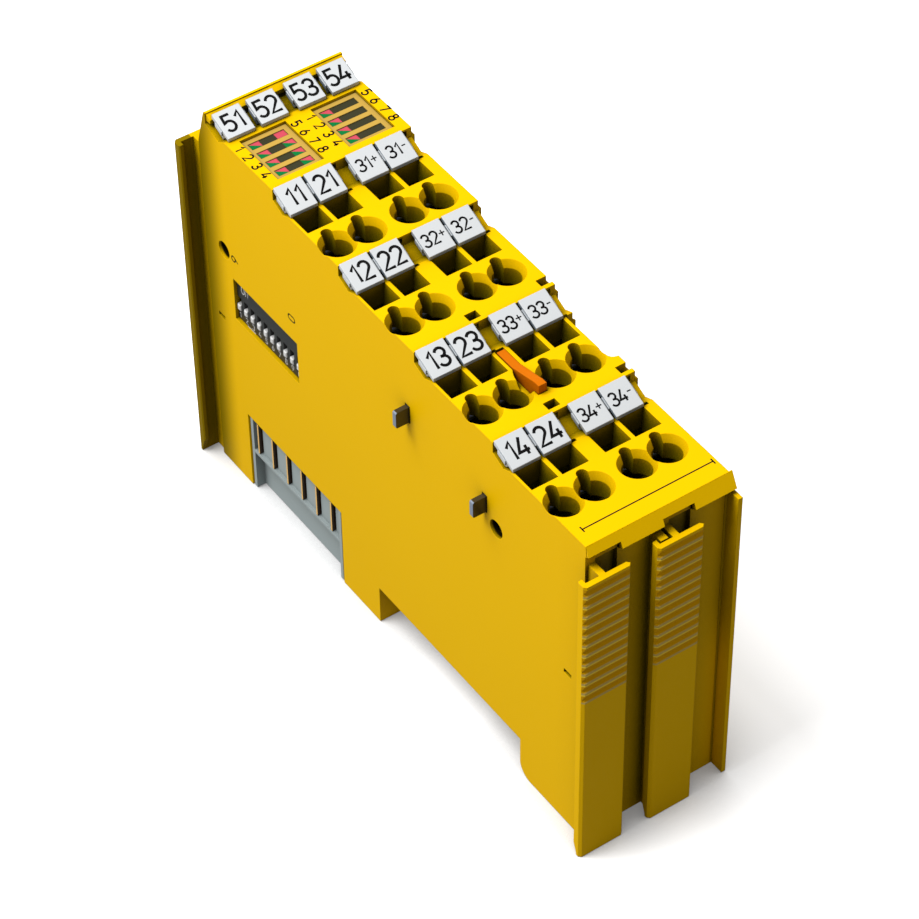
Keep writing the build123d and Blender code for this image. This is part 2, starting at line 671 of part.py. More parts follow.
def make_side_cover():
    """The flat cover that closes the right side, with its fins and contact openings."""
    x0, x1 = COVER_SEAT, RIGHT
    through = (x0 - OVERCUT, x1 + OVERCUT)
    cover = along_x(side_outline(sink=FRONT_SINK + SEAM), x0, x1)
    near_top = ROW_FACES[-1] - GRIP_BELOW_ROW + FIN_RISE
    far_top = RIM_TOP - GRIP_BELOW_RIM + FIN_RISE
    cover += box(x1 - FIN_THICKNESS, x1, NEAR_WALL - FIN_REACH, NEAR_WALL + WALL, BACK, near_top)
    cover += box(x1 - FIN_THICKNESS, x1, FAR_WALL - WALL, FAR_WALL + FIN_REACH, BACK, far_top)
    half_y = FORK_GAP / 2 + POWER_SLOT_CLEARANCE
    half_z = POWER_HEIGHT / 2 + POWER_SLOT_CLEARANCE
    for y, z in power_places():
        cover -= box(*through, y - half_y, y + half_y, z - half_z, z + half_z)
    cover -= box(*through, BUS_OPENING_NEAR, BUS_OPENING_NEAR + BUS_OPENING_LENGTH,
                 BACK - OVERCUT, BUS_OPENING_TOP)
    return cover - empty_tab_slot() - foot_corner(*through)


def make_tag(x, channel, low, high):
    """One clip-in tag that slopes from the lower face up to the higher one."""
    near = channel - CHANNEL_WIDTH - TAG_OVERHANG
    far = channel - TAG_GAP
    top_near = low + TAG_THICKNESS
    top_far = high + TAG_RISE
    slope = (top_far - top_near) / (far - near)

    def under(y, depth):
        return y, top_near + slope * (y - near) - depth

    plate = [(near, top_near), (far, top_far), (far, top_far - TAG_THICKNESS), (near, low + TAG_GAP)]
    leg_near = channel - CHANNEL_WIDTH + TAG_LEG_INSET
    leg_far = channel - TAG_LEG_INSET
    leg = [under(leg_near, TAG_THICKNESS / 2), under(leg_far, TAG_THICKNESS / 2),
           (leg_far, high - CHANNEL_DROP - TAG_SEAT),
           (channel - CHANNEL_LOW, high - CHANNEL_DEPTH + TAG_SEAT),
           under(leg_near, TAG_THICKNESS + TAG_LEG_SHORT)]
    half = TAG_WIDTH / 2
    lug_near = channel - TAG_LUG_FROM_STEP
    lug_far = lug_near + TAG_LUG_LENGTH
    lug_low = TAG_LUG_TOP + TAG_LUG_THICKNESS
    lug = [under(lug_near, TAG_LUG_TOP), under(lug_far, TAG_LUG_TOP), under(lug_far, lug_low),
           under(lug_near, lug_low)]
    tag = along_x(plate, x - half, x + half)
    tag += along_x(leg, x - half + TAG_LEG_SIDE, x + half - TAG_LEG_SIDE)
    return tag + along_x(lug, x - half - TAG_LUG, x + half + TAG_LUG)


def make_light_window(x, y):
    """One clear amber window with slots for its four light bars."""
    top = LIGHTS_FACE - WINDOW_SINK
    window = box(x + FIT, x + WINDOW_WIDTH - FIT, y + FIT, y + WINDOW_LENGTH - FIT,
                 top - WINDOW_THICKNESS, top)
    for bar_x, bar_y in bar_places(x, y):
        window -= box(bar_x - FIT, bar_x + BAR_LENGTH + FIT, bar_y - FIT, bar_y + BAR_WIDTH + FIT,
                      top - WINDOW_THICKNESS - OVERCUT, top + OVERCUT)
    return window


def bar_places(x, y):
    """The (x, y) low corners of the light bars in one window."""
    first = y + (WINDOW_LENGTH - BAR_PITCH * (BAR_COUNT - 1) - BAR_WIDTH) / 2
    return [(x + BAR_START, first + BAR_PITCH * bar) for bar in range(BAR_COUNT)]


def make_light_bars(x, y):
    """The four light bars of one window, as separate pieces."""
    top = LIGHTS_FACE - WINDOW_SINK - BAR_SINK
    return [box(bx, bx + BAR_LENGTH, by, by + BAR_WIDTH, top - WINDOW_THICKNESS - BAR_DEEPER, top)
            for bx, by in bar_places(x, y)]


def make_leds(x, y):
    """The lamps under one window, two to a bar."""
    leds = []
    for bx, by in bar_places(x, y):
        middle = by + BAR_WIDTH / 2
        for lamp_x in (bx + LED_FROM_END, bx + BAR_LENGTH - LED_FROM_END):
            leds.append(box(lamp_x - LED_LENGTH / 2, lamp_x + LED_LENGTH / 2, middle - LED_WIDTH / 2,
                            middle + LED_WIDTH / 2, LED_BOARD_TOP, LED_BOARD_TOP + LED_HEIGHT))
    return leds


def make_led_board():
    """The small board under the light windows."""
    (x0, y0), (x1, _) = light_windows()
    return box(x0, x1 + WINDOW_WIDTH, y0 + LED_BOARD_INSET, y0 + WINDOW_LENGTH - LED_BOARD_INSET,
               LED_BOARD_TOP - LED_BOARD_THICKNESS, LED_BOARD_TOP)


def make_main_board():
    """The upright circuit board, with a tongue that carries the small board."""
    near = NEAR_WALL + END_RECESS + WALL + BOARD_GROOVE + BOARD_GAP
    far = FAR_WALL - END_RECESS - WALL - BOARD_GROOVE - BOARD_GAP
    y0 = light_windows()[0][1] + TONGUE_INSET
    y1 = y0 + WINDOW_LENGTH - 2 * TONGUE_INSET
    top = LED_BOARD_TOP - LED_BOARD_THICKNESS - LED_BOARD_SEAT
    outline = [(near, BOARD_LOW), (near, BOARD_TOP), (y0, BOARD_TOP), (y0, top), (y1, top), (y1, BOARD_TOP),
               (far, BOARD_TOP), (far, BOARD_LOW)]
    return along_x(outline, BOARD_X, BOARD_X + BOARD_THICKNESS)


def slider_y(index):
    """The middle of one switch slider."""
    return SWITCH_MIDDLE_Y + SLIDER_PITCH * ((SLIDERS - 1) / 2 - index)


def make_switch_body():
    """The black body of the address switch: its face fills the wall's window, with a slot for each slider."""
    half = SLIDER_PITCH * SLIDERS / 2 + SWITCH_MARGIN
    body = box(LEFT + WALL + SWITCH_SEAT, BOARD_X, SWITCH_MIDDLE_Y - half, SWITCH_MIDDLE_Y + half,
               SWITCH_WINDOW_LOW - SWITCH_OVERLAP, SWITCH_WINDOW_LOW + SWITCH_WINDOW_HEIGHT + SWITCH_OVERLAP)
    half_face = SWITCH_WINDOW_LENGTH / 2 - SWITCH_PLAY
    body += box(SWITCH_FACE, BOARD_X, SWITCH_MIDDLE_Y - half_face, SWITCH_MIDDLE_Y + half_face,
                SWITCH_WINDOW_LOW + SWITCH_PLAY, SWITCH_WINDOW_LOW + SWITCH_WINDOW_HEIGHT - SWITCH_PLAY)
    half_y = SLIDER_WIDTH / 2 + SLIDER_CLEARANCE
    z0 = SLIDER_REST_Z - SLIDER_HEIGHT / 2 - SLIDER_CLEARANCE
    z1 = SLIDER_REST_Z + SLIDER_HEIGHT / 2 + SLIDER_TRAVEL + SLIDER_CLEARANCE
    for index in range(SLIDERS):
        y = slider_y(index)
        body -= box(SWITCH_FACE - OVERCUT, SWITCH_FACE + SLIDER_DEPTH + SLIDER_CLEARANCE,
                    y - half_y, y + half_y, z0, z1)
    return body


def make_slider(index):
    """One switch slider in its lower position."""
    y = slider_y(index)
    knob = box(SWITCH_FACE - SLIDER_PROUD, SWITCH_FACE + SLIDER_DEPTH,
               y - SLIDER_WIDTH / 2, y + SLIDER_WIDTH / 2,
               SLIDER_REST_Z - SLIDER_HEIGHT / 2, SLIDER_REST_Z + SLIDER_HEIGHT / 2)
    edges = knob.faces().sort_by(Axis.X)[0].edges()
    return chamfer(edges, SLIDER_CHAMFER)


def bus_slots():
    """The far edge of each bus contact slot, along Y."""
    far = BUS_OPENING_NEAR + BUS_OPENING_LENGTH - BUS_CLEARANCE
    return [far - BUS_FIRST - BUS_PITCH * index for index in range(BUS_COUNT)]


def make_bus_carrier():
    """The grey carrier of the bus contacts, from side to side, with six slots above a ledge."""
    x0, x1 = LEFT + BUS_SINK, RIGHT - BUS_SINK
    near = BUS_OPENING_NEAR + BUS_CLEARANCE
    far = BUS_OPENING_NEAR + BUS_OPENING_LENGTH - BUS_CLEARANCE
    inner = (near + BUS_FLANGE, far - BUS_FLANGE)
    slot_z = (BUS_LEDGE + BUS_LIP, BUS_OPENING_TOP - BUS_TOP_GAP)
    body = box(x0, x1, near, far, BACK + BUS_FLOAT, BUS_OPENING_TOP - SEAM)
    body -= box(x0 - OVERCUT, x0 + BUS_RECESS, *inner, BACK - OVERCUT, BUS_LEDGE - BUS_LEDGE_THICKNESS)
    body -= box(x0 - OVERCUT, x0 + BUS_PANEL, *inner, BUS_LEDGE, BUS_OPENING_TOP)
    half_pad = BUS_PAD / 2 + FIT
    for y in bus_slots():
        body -= box(x0 - OVERCUT, x1 + OVERCUT, y - BUS_SLOT, y, *slot_z)
        middle = y - BUS_SLOT / 2
        body -= box(x1 - BUS_PAD_THICKNESS - BUS_PAD_BACK, x1 + OVERCUT,
                    middle - half_pad, middle + half_pad, *slot_z)
    return body


def make_bus_contacts():
    """Six copper contacts: a strip on edge from the left side to a flat pad on the right."""
    x0, x1 = LEFT + BUS_SINK, RIGHT - BUS_SINK
    high_low = (BUS_LEDGE + BUS_LIP + BUS_PLAY, BUS_OPENING_TOP - BUS_TOP_GAP - BUS_PLAY)
    contacts = []
    for y in bus_slots():
        middle = y - BUS_SLOT / 2
        strip = box(x0, x1, y - BUS_STRIP - FIT, y - FIT, *high_low)
        contacts.append(strip + box(x1 - BUS_PAD_THICKNESS, x1, middle - BUS_PAD / 2, middle + BUS_PAD / 2,
                                    *high_low))
    return contacts


def make_power_contact(y, z):
    """A flat power bar: a blade on the left and a fork on the right."""
    z0, z1 = z - POWER_HEIGHT / 2, z + POWER_HEIGHT / 2
    tip = LEFT - POWER_REACH
    fork_x = COVER_SEAT - FORK_FROM_COVER
    root = fork_x - FORK_LENGTH
    fork_half = FORK_GAP / 2 + POWER_THICKNESS
    outline = [(tip, z0 + POWER_TIP), (tip + POWER_TIP, z0), (root, z0), (root, z1), (tip + POWER_TIP, z1),
               (tip, z1 - POWER_TIP)]
    bar = along_y(outline, y - POWER_THICKNESS / 2, y + POWER_THICKNESS / 2)
    bar += box(root - POWER_THICKNESS, fork_x, y - fork_half, y + fork_half, z0, z1)
    return bar - box(root, fork_x + OVERCUT, y - FORK_GAP / 2, y + FORK_GAP / 2, z0, z1)


def bent_strip(x, row, path, sheet):
    """A bent strip as wide as its clamp room allows, along a path measured from its row's step and roof."""
    roof = ROW_FACES[row] - FRONT_THICKNESS - CLAMP_ROOF_GAP
    points = [(ROW_CHANNELS[row] - back, roof - down) for back, down in path]
    half = CELL_WIDTH / 2 - CLAMP_SIDE_GAP
    return along_x(ribbon(points, sheet), x - half, x + half)


def make_clamp_spring(x, row):
    """One cage spring, bent from strip."""
    return bent_strip(x, row, CLAMP_SPRING_PATH, CLAMP_SPRING_SHEET)


def make_clamp_bar(x, row):
    """The bar that one wire is pressed against."""
    return bent_strip(x, row, CLAMP_BAR_PATH, CLAMP_BAR_SHEET)


def make_release_tab():
    """The orange pull tab, with a long stem that ends in a slanted cam slot."""
    near, face = tab_place()
    x0, x1 = TAB_X - TAB_THICKNESS / 2, TAB_X + TAB_THICKNESS / 2
    through = (x0 - OVERCUT, x1 + OVERCUT)
    low = FLOOR + STEM_ABOVE_FLOOR
    head_low = face - TAB_HEAD
    stem_near, stem_far = stem_ends()
    pin_y = pin_place()
    top = face + TAB_PROUD
    wedge = top + TAB_WEDGE_RISE
    outline = [(near, head_low), (near, wedge), (near + TAB_WEDGE_FLAT, wedge),
               (near + TAB_WEDGE_LENGTH, top), (near + TAB_LENGTH, top), (near + TAB_LENGTH, head_low),
               (stem_far, head_low), (stem_far, low), (stem_near, low), (stem_near, head_low)]
    reach = PIN_RADIUS + PIN_CLEARANCE
    run = math.hypot(LATCH_TRAVEL, TAB_TRAVEL)
    side_y = reach * TAB_TRAVEL / run
    side_z = reach * LATCH_TRAVEL / run
    start, end = (pin_y, PIN_Z), (pin_y + LATCH_TRAVEL, PIN_Z - TAB_TRAVEL)
    slot = along_x([(start[0] + side_y, start[1] + side_z), (end[0] + side_y, end[1] + side_z),
                    (end[0] - side_y, end[1] - side_z), (start[0] - side_y, start[1] - side_z)], *through)
    for y, z in (start, end):
        slot += rod_x(reach, *through, y, z)
    return along_x(outline, x0, x1) - slot


def make_rail_latch():
    """The sliding latch: a slotted plate with a hook, and two ears that hold the cam pin."""
    x0, x1 = TAB_X - LATCH_WIDTH / 2, TAB_X + LATCH_WIDTH / 2
    low = FLOOR + LATCH_FLOAT
    top = low + LATCH_PLATE
    gap = TAB_THICKNESS / 2 + LATCH_SIDE_GAP
    stem_near, stem_far = stem_ends()
    pin_y = pin_place()
    slot_near = stem_near - LATCH_TRAVEL - LATCH_SIDE_GAP
    latch = box(x0, x1, slot_near - LATCH_END, LATCH_FAR, low, top)
    latch -= box(TAB_X - gap, TAB_X + gap, slot_near, stem_far + LATCH_SIDE_GAP, low - OVERCUT, top + OVERCUT)
    hook = [(LATCH_HOOK_NEAR, top), (LATCH_HOOK_NEAR, LATCH_NOSE_TOP), (LATCH_NOSE, LATCH_NOSE_TOP),
            (LATCH_NOSE, LATCH_NOSE_LOW), (LATCH_HOOK_NEAR, LATCH_HOOK_LOW), (LATCH_FAR, LATCH_HOOK_LOW),
            (LATCH_FAR, top)]
    latch += along_x(hook, x0, x1)
    ear_y = (pin_y - LATCH_EAR_LENGTH / 2, pin_y + LATCH_EAR_LENGTH / 2)
    for side in (-1, 1):
        inner = TAB_X + side * gap
        latch += box(inner, inner + side * LATCH_EAR_THICKNESS, *ear_y, top - LATCH_EAR_ROOT, LATCH_EAR_TOP)
    return latch + rod_x(PIN_RADIUS, TAB_X - gap - PIN_IN_EAR, TAB_X + gap + PIN_IN_EAR, pin_y, PIN_Z)


def make_latch_spring():
    """A folded strip spring that pushes the latch towards the rail."""
    low = FLOOR + LATCH_FLOAT
    y0 = LATCH_FAR + SPRING_SHEET / 2 + SPRING_END_GAP
    y1 = SPRING_STOP - SPRING_SHEET / 2 - SPRING_END_GAP
    x0, x1 = TAB_X - LATCH_WIDTH / 2 + SPRING_SIDE_GAP, TAB_X + LATCH_WIDTH / 2 - SPRING_SIDE_GAP
    path = []
    for turn in range(SPRING_TURNS + 1):
        y = y0 + (y1 - y0) * turn / SPRING_TURNS
        path += [(x0, y), (x1, y)] if turn % 2 == 0 else [(x1, y), (x0, y)]
    return along_z(ribbon(path, SPRING_SHEET), low, low + SPRING_HEIGHT)


def make_parts():
    """Every node of the module, by name."""
    parts = {
        "housing": make_housing(),
        "side_cover": make_side_cover(),
        "main_board": make_main_board(),
        "led_board": make_led_board(),
        "switch_body": make_switch_body(),
        "bus_contact_carrier": make_bus_carrier(),
        "bus_contacts": make_bus_contacts(),
        "release_tab": make_release_tab(),
        "rail_latch": make_rail_latch(),
        "latch_spring": make_latch_spring(),
    }
    for side, (x, y) in zip(("left", "right"), light_windows()):
        parts[f"light_window_{side}"] = make_light_window(x, y)
        parts[f"light_bars_{side}"] = make_light_bars(x, y)
        parts[f"lamps_{side}"] = make_leds(x, y)
    for index in range(SLIDERS):
        parts[f"switch_slider_{index + 1}"] = make_slider(index)
    for index, (y, z) in enumerate(power_places()):
        parts[f"power_contact_{index + 1}"] = make_power_contact(y, z)
    for row in range(ROWS):
        parts[f"row_{row + 1}_clamp_springs"] = [make_clamp_spring(x, row) for x in CELLS_X]
        parts[f"row_{row + 1}_clamp_bars"] = [make_clamp_bar(x, row) for x in CELLS_X]
    for step, (channel, low, high, _) in enumerate(STEPS):
        name, places = ("unit", RIM_TAGS_X) if step == 0 else (f"row_{step}", ROW_TAGS_X)
        for index, x in enumerate(places):
            parts[f"{name}_tag_{index + 1}"] = make_tag(x, channel, low, high)
    return parts


def main():
    os.makedirs("parts", exist_ok=True)
    for name, shape in make_parts().items():
        solids = shape if isinstance(shape, list) else [shape]
        whole = Compound(children=solids) if len(solids) > 1 else solids[0]
        export_step(whole, f"parts/{name}.step")


main()
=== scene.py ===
"""Finishes, printed marks, studio and camera for the safety output module."""

import bpy
import numpy as np
from mathutils import Matrix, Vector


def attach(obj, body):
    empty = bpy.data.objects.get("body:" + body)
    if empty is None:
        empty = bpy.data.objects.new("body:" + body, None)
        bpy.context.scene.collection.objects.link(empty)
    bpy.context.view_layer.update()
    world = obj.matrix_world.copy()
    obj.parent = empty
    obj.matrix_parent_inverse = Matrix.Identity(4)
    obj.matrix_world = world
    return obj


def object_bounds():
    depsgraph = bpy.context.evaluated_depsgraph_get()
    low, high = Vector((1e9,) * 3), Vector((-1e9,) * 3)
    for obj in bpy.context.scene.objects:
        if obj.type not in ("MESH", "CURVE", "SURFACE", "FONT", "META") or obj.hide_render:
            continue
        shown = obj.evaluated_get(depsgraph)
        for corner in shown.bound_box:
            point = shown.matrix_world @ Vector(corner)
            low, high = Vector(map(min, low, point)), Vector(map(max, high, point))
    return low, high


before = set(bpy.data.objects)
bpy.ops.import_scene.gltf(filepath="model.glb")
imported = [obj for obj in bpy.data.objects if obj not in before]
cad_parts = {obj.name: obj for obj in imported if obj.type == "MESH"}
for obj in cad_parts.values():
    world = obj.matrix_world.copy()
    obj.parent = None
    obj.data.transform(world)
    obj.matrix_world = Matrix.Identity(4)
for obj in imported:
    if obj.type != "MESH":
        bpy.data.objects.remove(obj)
cad_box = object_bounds()

MM = 0.001

# Places on the module, in millimetres, as the part has them; the steps run from the rim to the near end
RIM_TAGS_X = [-9.25, -3.6, 2.75, 8.4]
ROW_TAGS_X = [-9.65, -4.65, 2.35, 7.35]
CHANNELS = [58.05, 41.5, 25.1, 6.8, -11.5]
LOW_FACES = [60.7, 58.5, 56.3, 54.1, 51.9]
HIGH_FACES = [62.6, 60.7, 58.5, 56.3, 54.1]
LIGHTS_FACE = 60.7
WINDOWS_X = [-10.1, 1.9]
WINDOW_Y = 42.95
WINDOW_WIDTH = 7.75
WINDOW_LENGTH = 10.1
BARS = 4
BAR_START = 0.85
BAR_PITCH = 2.3
BAR_WIDTH = 1.25
BAR_LENGTH = 5.9
BAR_TOP = 60.15
SWITCH_FACE_X = -11.5
SWITCH_MIDDLE_Y = 45.85
SWITCH_LOW_Z = 26.6
SLIDERS = 10
SLIDER_PITCH = 1.77
LEFT_WALL_X = -12.0

# Prints: how far they stand over their face, how deep they go into it, and the width of a plain line
INK_LIFT = 0.012
INK_THICKNESS = 0.02
LINE_WIDTH = 0.2


def put_mesh(name, points, faces, material, slot, body="module"):
    """Makes one piece from points in millimetres and its faces, and rides it on a body."""
    mesh = bpy.data.meshes.new(name)
    mesh.from_pydata((np.asarray(points, float) * MM).tolist(), [], faces)
    mesh.update()
    mesh.materials.append(material)
    piece = bpy.data.objects.new(name, mesh)
    bpy.context.scene.collection.objects.link(piece)
    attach(piece, body)


def slab(outline, thickness):
    """A closed slab: its top is the outline, its bottom the outline moved down by the thickness."""
    top = np.column_stack([np.asarray(outline, float), np.zeros(len(outline))])
    low = top - [0, 0, thickness]
    n = len(top)
    faces = [list(range(n)), list(range(2 * n - 1, n - 1, -1))]
    faces += [[i, i + n, (i + 1) % n + n, (i + 1) % n] for i in range(n)]
    return np.vstack([top, low]), faces


def bar_along_x(outline, x0, x1):
    """A closed bar: a (y, z) outline carried straight along x from x0 to x1."""
    outline = np.asarray(outline, float)
    n = len(outline)
    points = np.vstack([np.column_stack([np.full(n, x), outline]) for x in (x0, x1)])
    faces = [list(range(n - 1, -1, -1)), list(range(n, 2 * n))]
    faces += [[i, (i + 1) % n, (i + 1) % n + n, i + n] for i in range(n)]
    return points, faces


def placed(points, origin, across, up):
    """Points of a flat print carried onto a face and lifted a hair off it.

    Each is the origin plus x along across, y along up, and z with the lift along their cross product.
    """
    across = np.asarray(across, float) / np.linalg.norm(across)
    up = np.asarray(up, float) / np.linalg.norm(up)
    lifted = np.asarray(points) + [0, 0, INK_LIFT]
    return np.asarray(origin, float) + lifted @ np.array([across, up, np.cross(across, up)])


def joined(pieces):
    """One list of points and faces from several, each one's face numbers moved on by the points before it."""
    points, faces, start = [], [], 0
    for piece_points, piece_faces in pieces:
        points.append(piece_points)
        faces += [[i + start for i in face] for face in piece_faces]
        start += len(piece_points)
    return np.vstack(points), faces


def arc(cx, cy, rx, ry, start, end, steps=14):
    """Points of an arc: the centre plus the radii times cosine and sine, from start to end in degrees."""
    turn = np.radians(np.linspace(start, end, steps))
    return np.column_stack([cx + rx * np.cos(turn), cy + ry * np.sin(turn)]).tolist()


# Strokes of the plain figures, each figure in a box about 0.6 wide and 1 high, as runs and arcs
FIGURES = {
    "0": [arc(0.28, 0.72, 0.28, 0.28, 0, 180) + arc(0.28, 0.28, 0.28, 0.28, 180, 360) + [[0.56, 0.72]]],
    "1": [[[0.05, 0.72], [0.30, 1.0], [0.30, 0.0]]],
    "2": [arc(0.28, 0.72, 0.27, 0.28, 165, -35) + [[0.0, 0.0], [0.58, 0.0]]],
    "3": [arc(0.27, 0.75, 0.26, 0.25, 160, -80) + [[0.2, 0.52]],
          [[0.2, 0.52]] + arc(0.27, 0.26, 0.29, 0.26, 85, -165)],
    "4": [[[0.36, 1.0], [0.0, 0.24], [0.60, 0.24]], [[0.44, 0.5], [0.44, 0.0]]],
    "5": [[[0.53, 1.0], [0.08, 1.0], [0.05, 0.55]] + arc(0.27, 0.31, 0.29, 0.31, 125, -150)],
    "6": [[[0.36, 1.0], [0.05, 0.45]], arc(0.28, 0.29, 0.28, 0.29, 0, 360, 28)],
    "7": [[[0.0, 1.0], [0.56, 1.0], [0.2, 0.0]]],
    "8": [arc(0.28, 0.77, 0.22, 0.23, 0, 360, 24), arc(0.28, 0.27, 0.28, 0.27, 0, 360, 28)],
    "9": [[[0.20, 0.0], [0.51, 0.55]], arc(0.28, 0.71, 0.28, 0.29, 0, 360, 28)],
    "+": [[[0.0, 0.60], [0.48, 0.60]], [[0.24, 0.36], [0.24, 0.84]]],
    "-": [[[0.04, 0.60], [0.36, 0.60]]],
    "O": [arc(0.30, 0.70, 0.30, 0.30, 0, 180) + arc(0.30, 0.30, 0.30, 0.30, 180, 360) + [[0.60, 0.70]]],
    "N": [[[0.12, 0.0], [0.12, 1.0], [0.64, 0.0], [0.64, 1.0]]],
}

# From one figure to the next, the gap in that, and how thin the strokes of plus and minus are beside the rest
USUAL_ADVANCE = 0.72
ADVANCE = {"1": 0.52, "+": 0.56, "-": 0.46}
FIGURE_GAP = 0.14
SIGN_WEIGHT = 0.62

# A run's shortest step, and the least squared length of two normals' sum, which blunts its sharp corners
SHORTEST_STEP = 1e-6
SHARPEST_MITRE = 1.2


def stroke(points, width):
    """A closed flat ribbon along a run of points.

    Each point moves to both sides along the sum of the normals before and after it, times the width over the
    squared length of that sum, so the ribbon is as wide in its bends as in its straight runs.
    """
    run = np.asarray(points, float)
    apart = np.hypot(*np.diff(run, axis=0).T) > SHORTEST_STEP
    run = run[np.r_[True, apart]]
    step = np.diff(run, axis=0)
    step /= np.hypot(*step.T)[:, None]
    normal = np.column_stack([-step[:, 1], step[:, 0]])
    total = np.vstack([normal[:1], normal]) + np.vstack([normal, normal[-1:]])
    side = total * (width / np.maximum((total ** 2).sum(1), SHARPEST_MITRE))[:, None]
    n = len(run)
    top = np.column_stack([np.vstack([run + side, run - side]), np.zeros(2 * n)])
    low = top - [0, 0, INK_THICKNESS]
    i = np.arange(n - 1)
    j = i + 1
    along = np.stack([np.column_stack(corners) for corners in (
        (i, i + n, j + n, j), (i + 2 * n, j + 2 * n, j + 3 * n, i + 3 * n),
        (i, j, j + 2 * n, i + 2 * n), (i + n, i + 3 * n, j + 3 * n, j + n))], axis=1)
    ends = [[0, 2 * n, 3 * n, n], [n - 1, 2 * n - 1, 4 * n - 1, 3 * n - 1]]
    return np.vstack([top, low]), along.reshape(-1, 4).tolist() + ends


def figures(text, height, weight):
    """A row of plain figures of a height and a stroke weight, centred on its origin."""
    pieces, x = [], 0.0
    for sign in text:
        width = weight * SIGN_WEIGHT if sign in "+-" else weight
        pieces += [stroke(np.asarray(run) * height + [x, 0], width) for run in FIGURES[sign]]
        x += ADVANCE.get(sign, USUAL_ADVANCE) * height
    points, faces = joined(pieces)
    return points - [(x - FIGURE_GAP * height) / 2, height / 2, 0], faces


# Finishes: the kind of a group's input by how many parts its value has, and what most groups put out
INPUT_KINDS = {1: "NodeSocketFloat", 3: "NodeSocketVector", 4: "NodeSocketColor"}
SURFACE = {"Colour": "NodeSocketColor", "Roughness": "NodeSocketFloat", "Height": "NodeSocketFloat"}

# Where a mix node has its two values and its result, for each kind of value
MIX_SOCKETS = {"FLOAT": (2, 3, 0), "VECTOR": (4, 5, 1), "RGBA": (6, 7, 2)}


def new_group(name, inputs, outputs):
    """An empty shader node group with named sockets, each input of the kind that its first value has."""
    group = bpy.data.node_groups.new(name, "ShaderNodeTree")
    for label, value in inputs.items():
        kind = INPUT_KINDS[np.size(value)]
        group.interface.new_socket(label, in_out="INPUT", socket_type=kind).default_value = value
    for label, kind in outputs.items():
        group.interface.new_socket(label, in_out="OUTPUT", socket_type=kind)
    return group, group.nodes.new("NodeGroupInput").outputs, group.nodes.new("NodeGroupOutput").inputs


def node(tree, kind, **settings):
    """A node with its settings; a setting named after an input socket sets that socket."""
    made = tree.nodes.new(kind)
    for label, value in settings.items():
        if label in made.inputs:
            made.inputs[label].default_value = value
        else:
            setattr(made, label, value)
    return made


def fed(tree, target, value):
    """Gives a socket a link when the value is an output of another node, and a plain value otherwise."""
    if isinstance(value, bpy.types.NodeSocket):
        tree.links.new(value, target)
    else:
        target.default_value = value


def math_output(tree, operation, *values):
    """The output of a math node fed with two or three values."""
    made = node(tree, "ShaderNodeMath", operation=operation)
    for target, value in zip(made.inputs, values):
        fed(tree, target, value)
    return made.outputs[0]


def step_mask(tree, value, start, end, climb="SMOOTHSTEP"):
    """A mask that climbs from 0 at the start to 1 at the end."""
    made = node(tree, "ShaderNodeMapRange", interpolation_type=climb)
    for label, given in (("Value", value), ("From Min", start), ("From Max", end)):
        fed(tree, made.inputs[label], given)
    return made.outputs["Result"]


def all_of(tree, first, *others):
    """The product of several masks."""
    for other in others:
        first = math_output(tree, "MULTIPLY", first, other)
    return first


def mixed(tree, kind, mask, below, above):
    """A value laid over another one as far as the mask says."""
    made = node(tree, "ShaderNodeMix", data_type=kind)
    low, high, result = MIX_SOCKETS[kind]
    fed(tree, made.inputs["Factor"], mask)
    fed(tree, made.inputs[low], below)
    fed(tree, made.inputs[high], above)
    return made.outputs[result]


def tinted(tree, mask, below, above):
    """A colour laid over another one as far as the mask says."""
    return mixed(tree, "RGBA", mask, below, above)


def object_place(tree):
    """The object coordinates."""
    return node(tree, "ShaderNodeTexCoord").outputs["Object"]


def noise(tree, place, scale, detail=2.0):
    """Soft noise over a place."""
    made = node(tree, "ShaderNodeTexNoise", Detail=detail)
    tree.links.new(place, made.inputs["Vector"])
    fed(tree, made.inputs["Scale"], scale)
    return made.outputs["Fac"]


def openness(tree, reach, own):
    """How open the surface is within a reach, by the piece's own hollows or by all pieces around."""
    made = node(tree, "ShaderNodeAmbientOcclusion", samples=5, only_local=own)
    tree.links.new(reach, made.inputs["Distance"])
    return made.outputs["AO"]


def axes_of(tree, vector):
    """The three parts of a vector."""
    parts = node(tree, "ShaderNodeSeparateXYZ")
    tree.links.new(vector, parts.inputs[0])
    return parts.outputs


def millimetre_axes(tree):
    """The object coordinates in millimetres, one output for each axis."""
    scaled = node(tree, "ShaderNodeVectorMath", operation="SCALE", Scale=1 / MM)
    tree.links.new(object_place(tree), scaled.inputs[0])
    return axes_of(tree, scaled.outputs[0])


def facing_axes(tree):
    """How far the surface turns to each axis, one output for each."""
    return axes_of(tree, node(tree, "ShaderNodeNewGeometry").outputs["Normal"])


def given_out(tree, sockets, **values):
    """Links values to a group's outputs."""
    for label, value in values.items():
        tree.links.new(value, sockets[label])


# Heights in millimetres between which hollows that other pieces make start to count for the painted shade,
# and the drift's scale
AROUND_COUNTS = (12.0, 30.0)
DRIFT_SCALE = 55.0


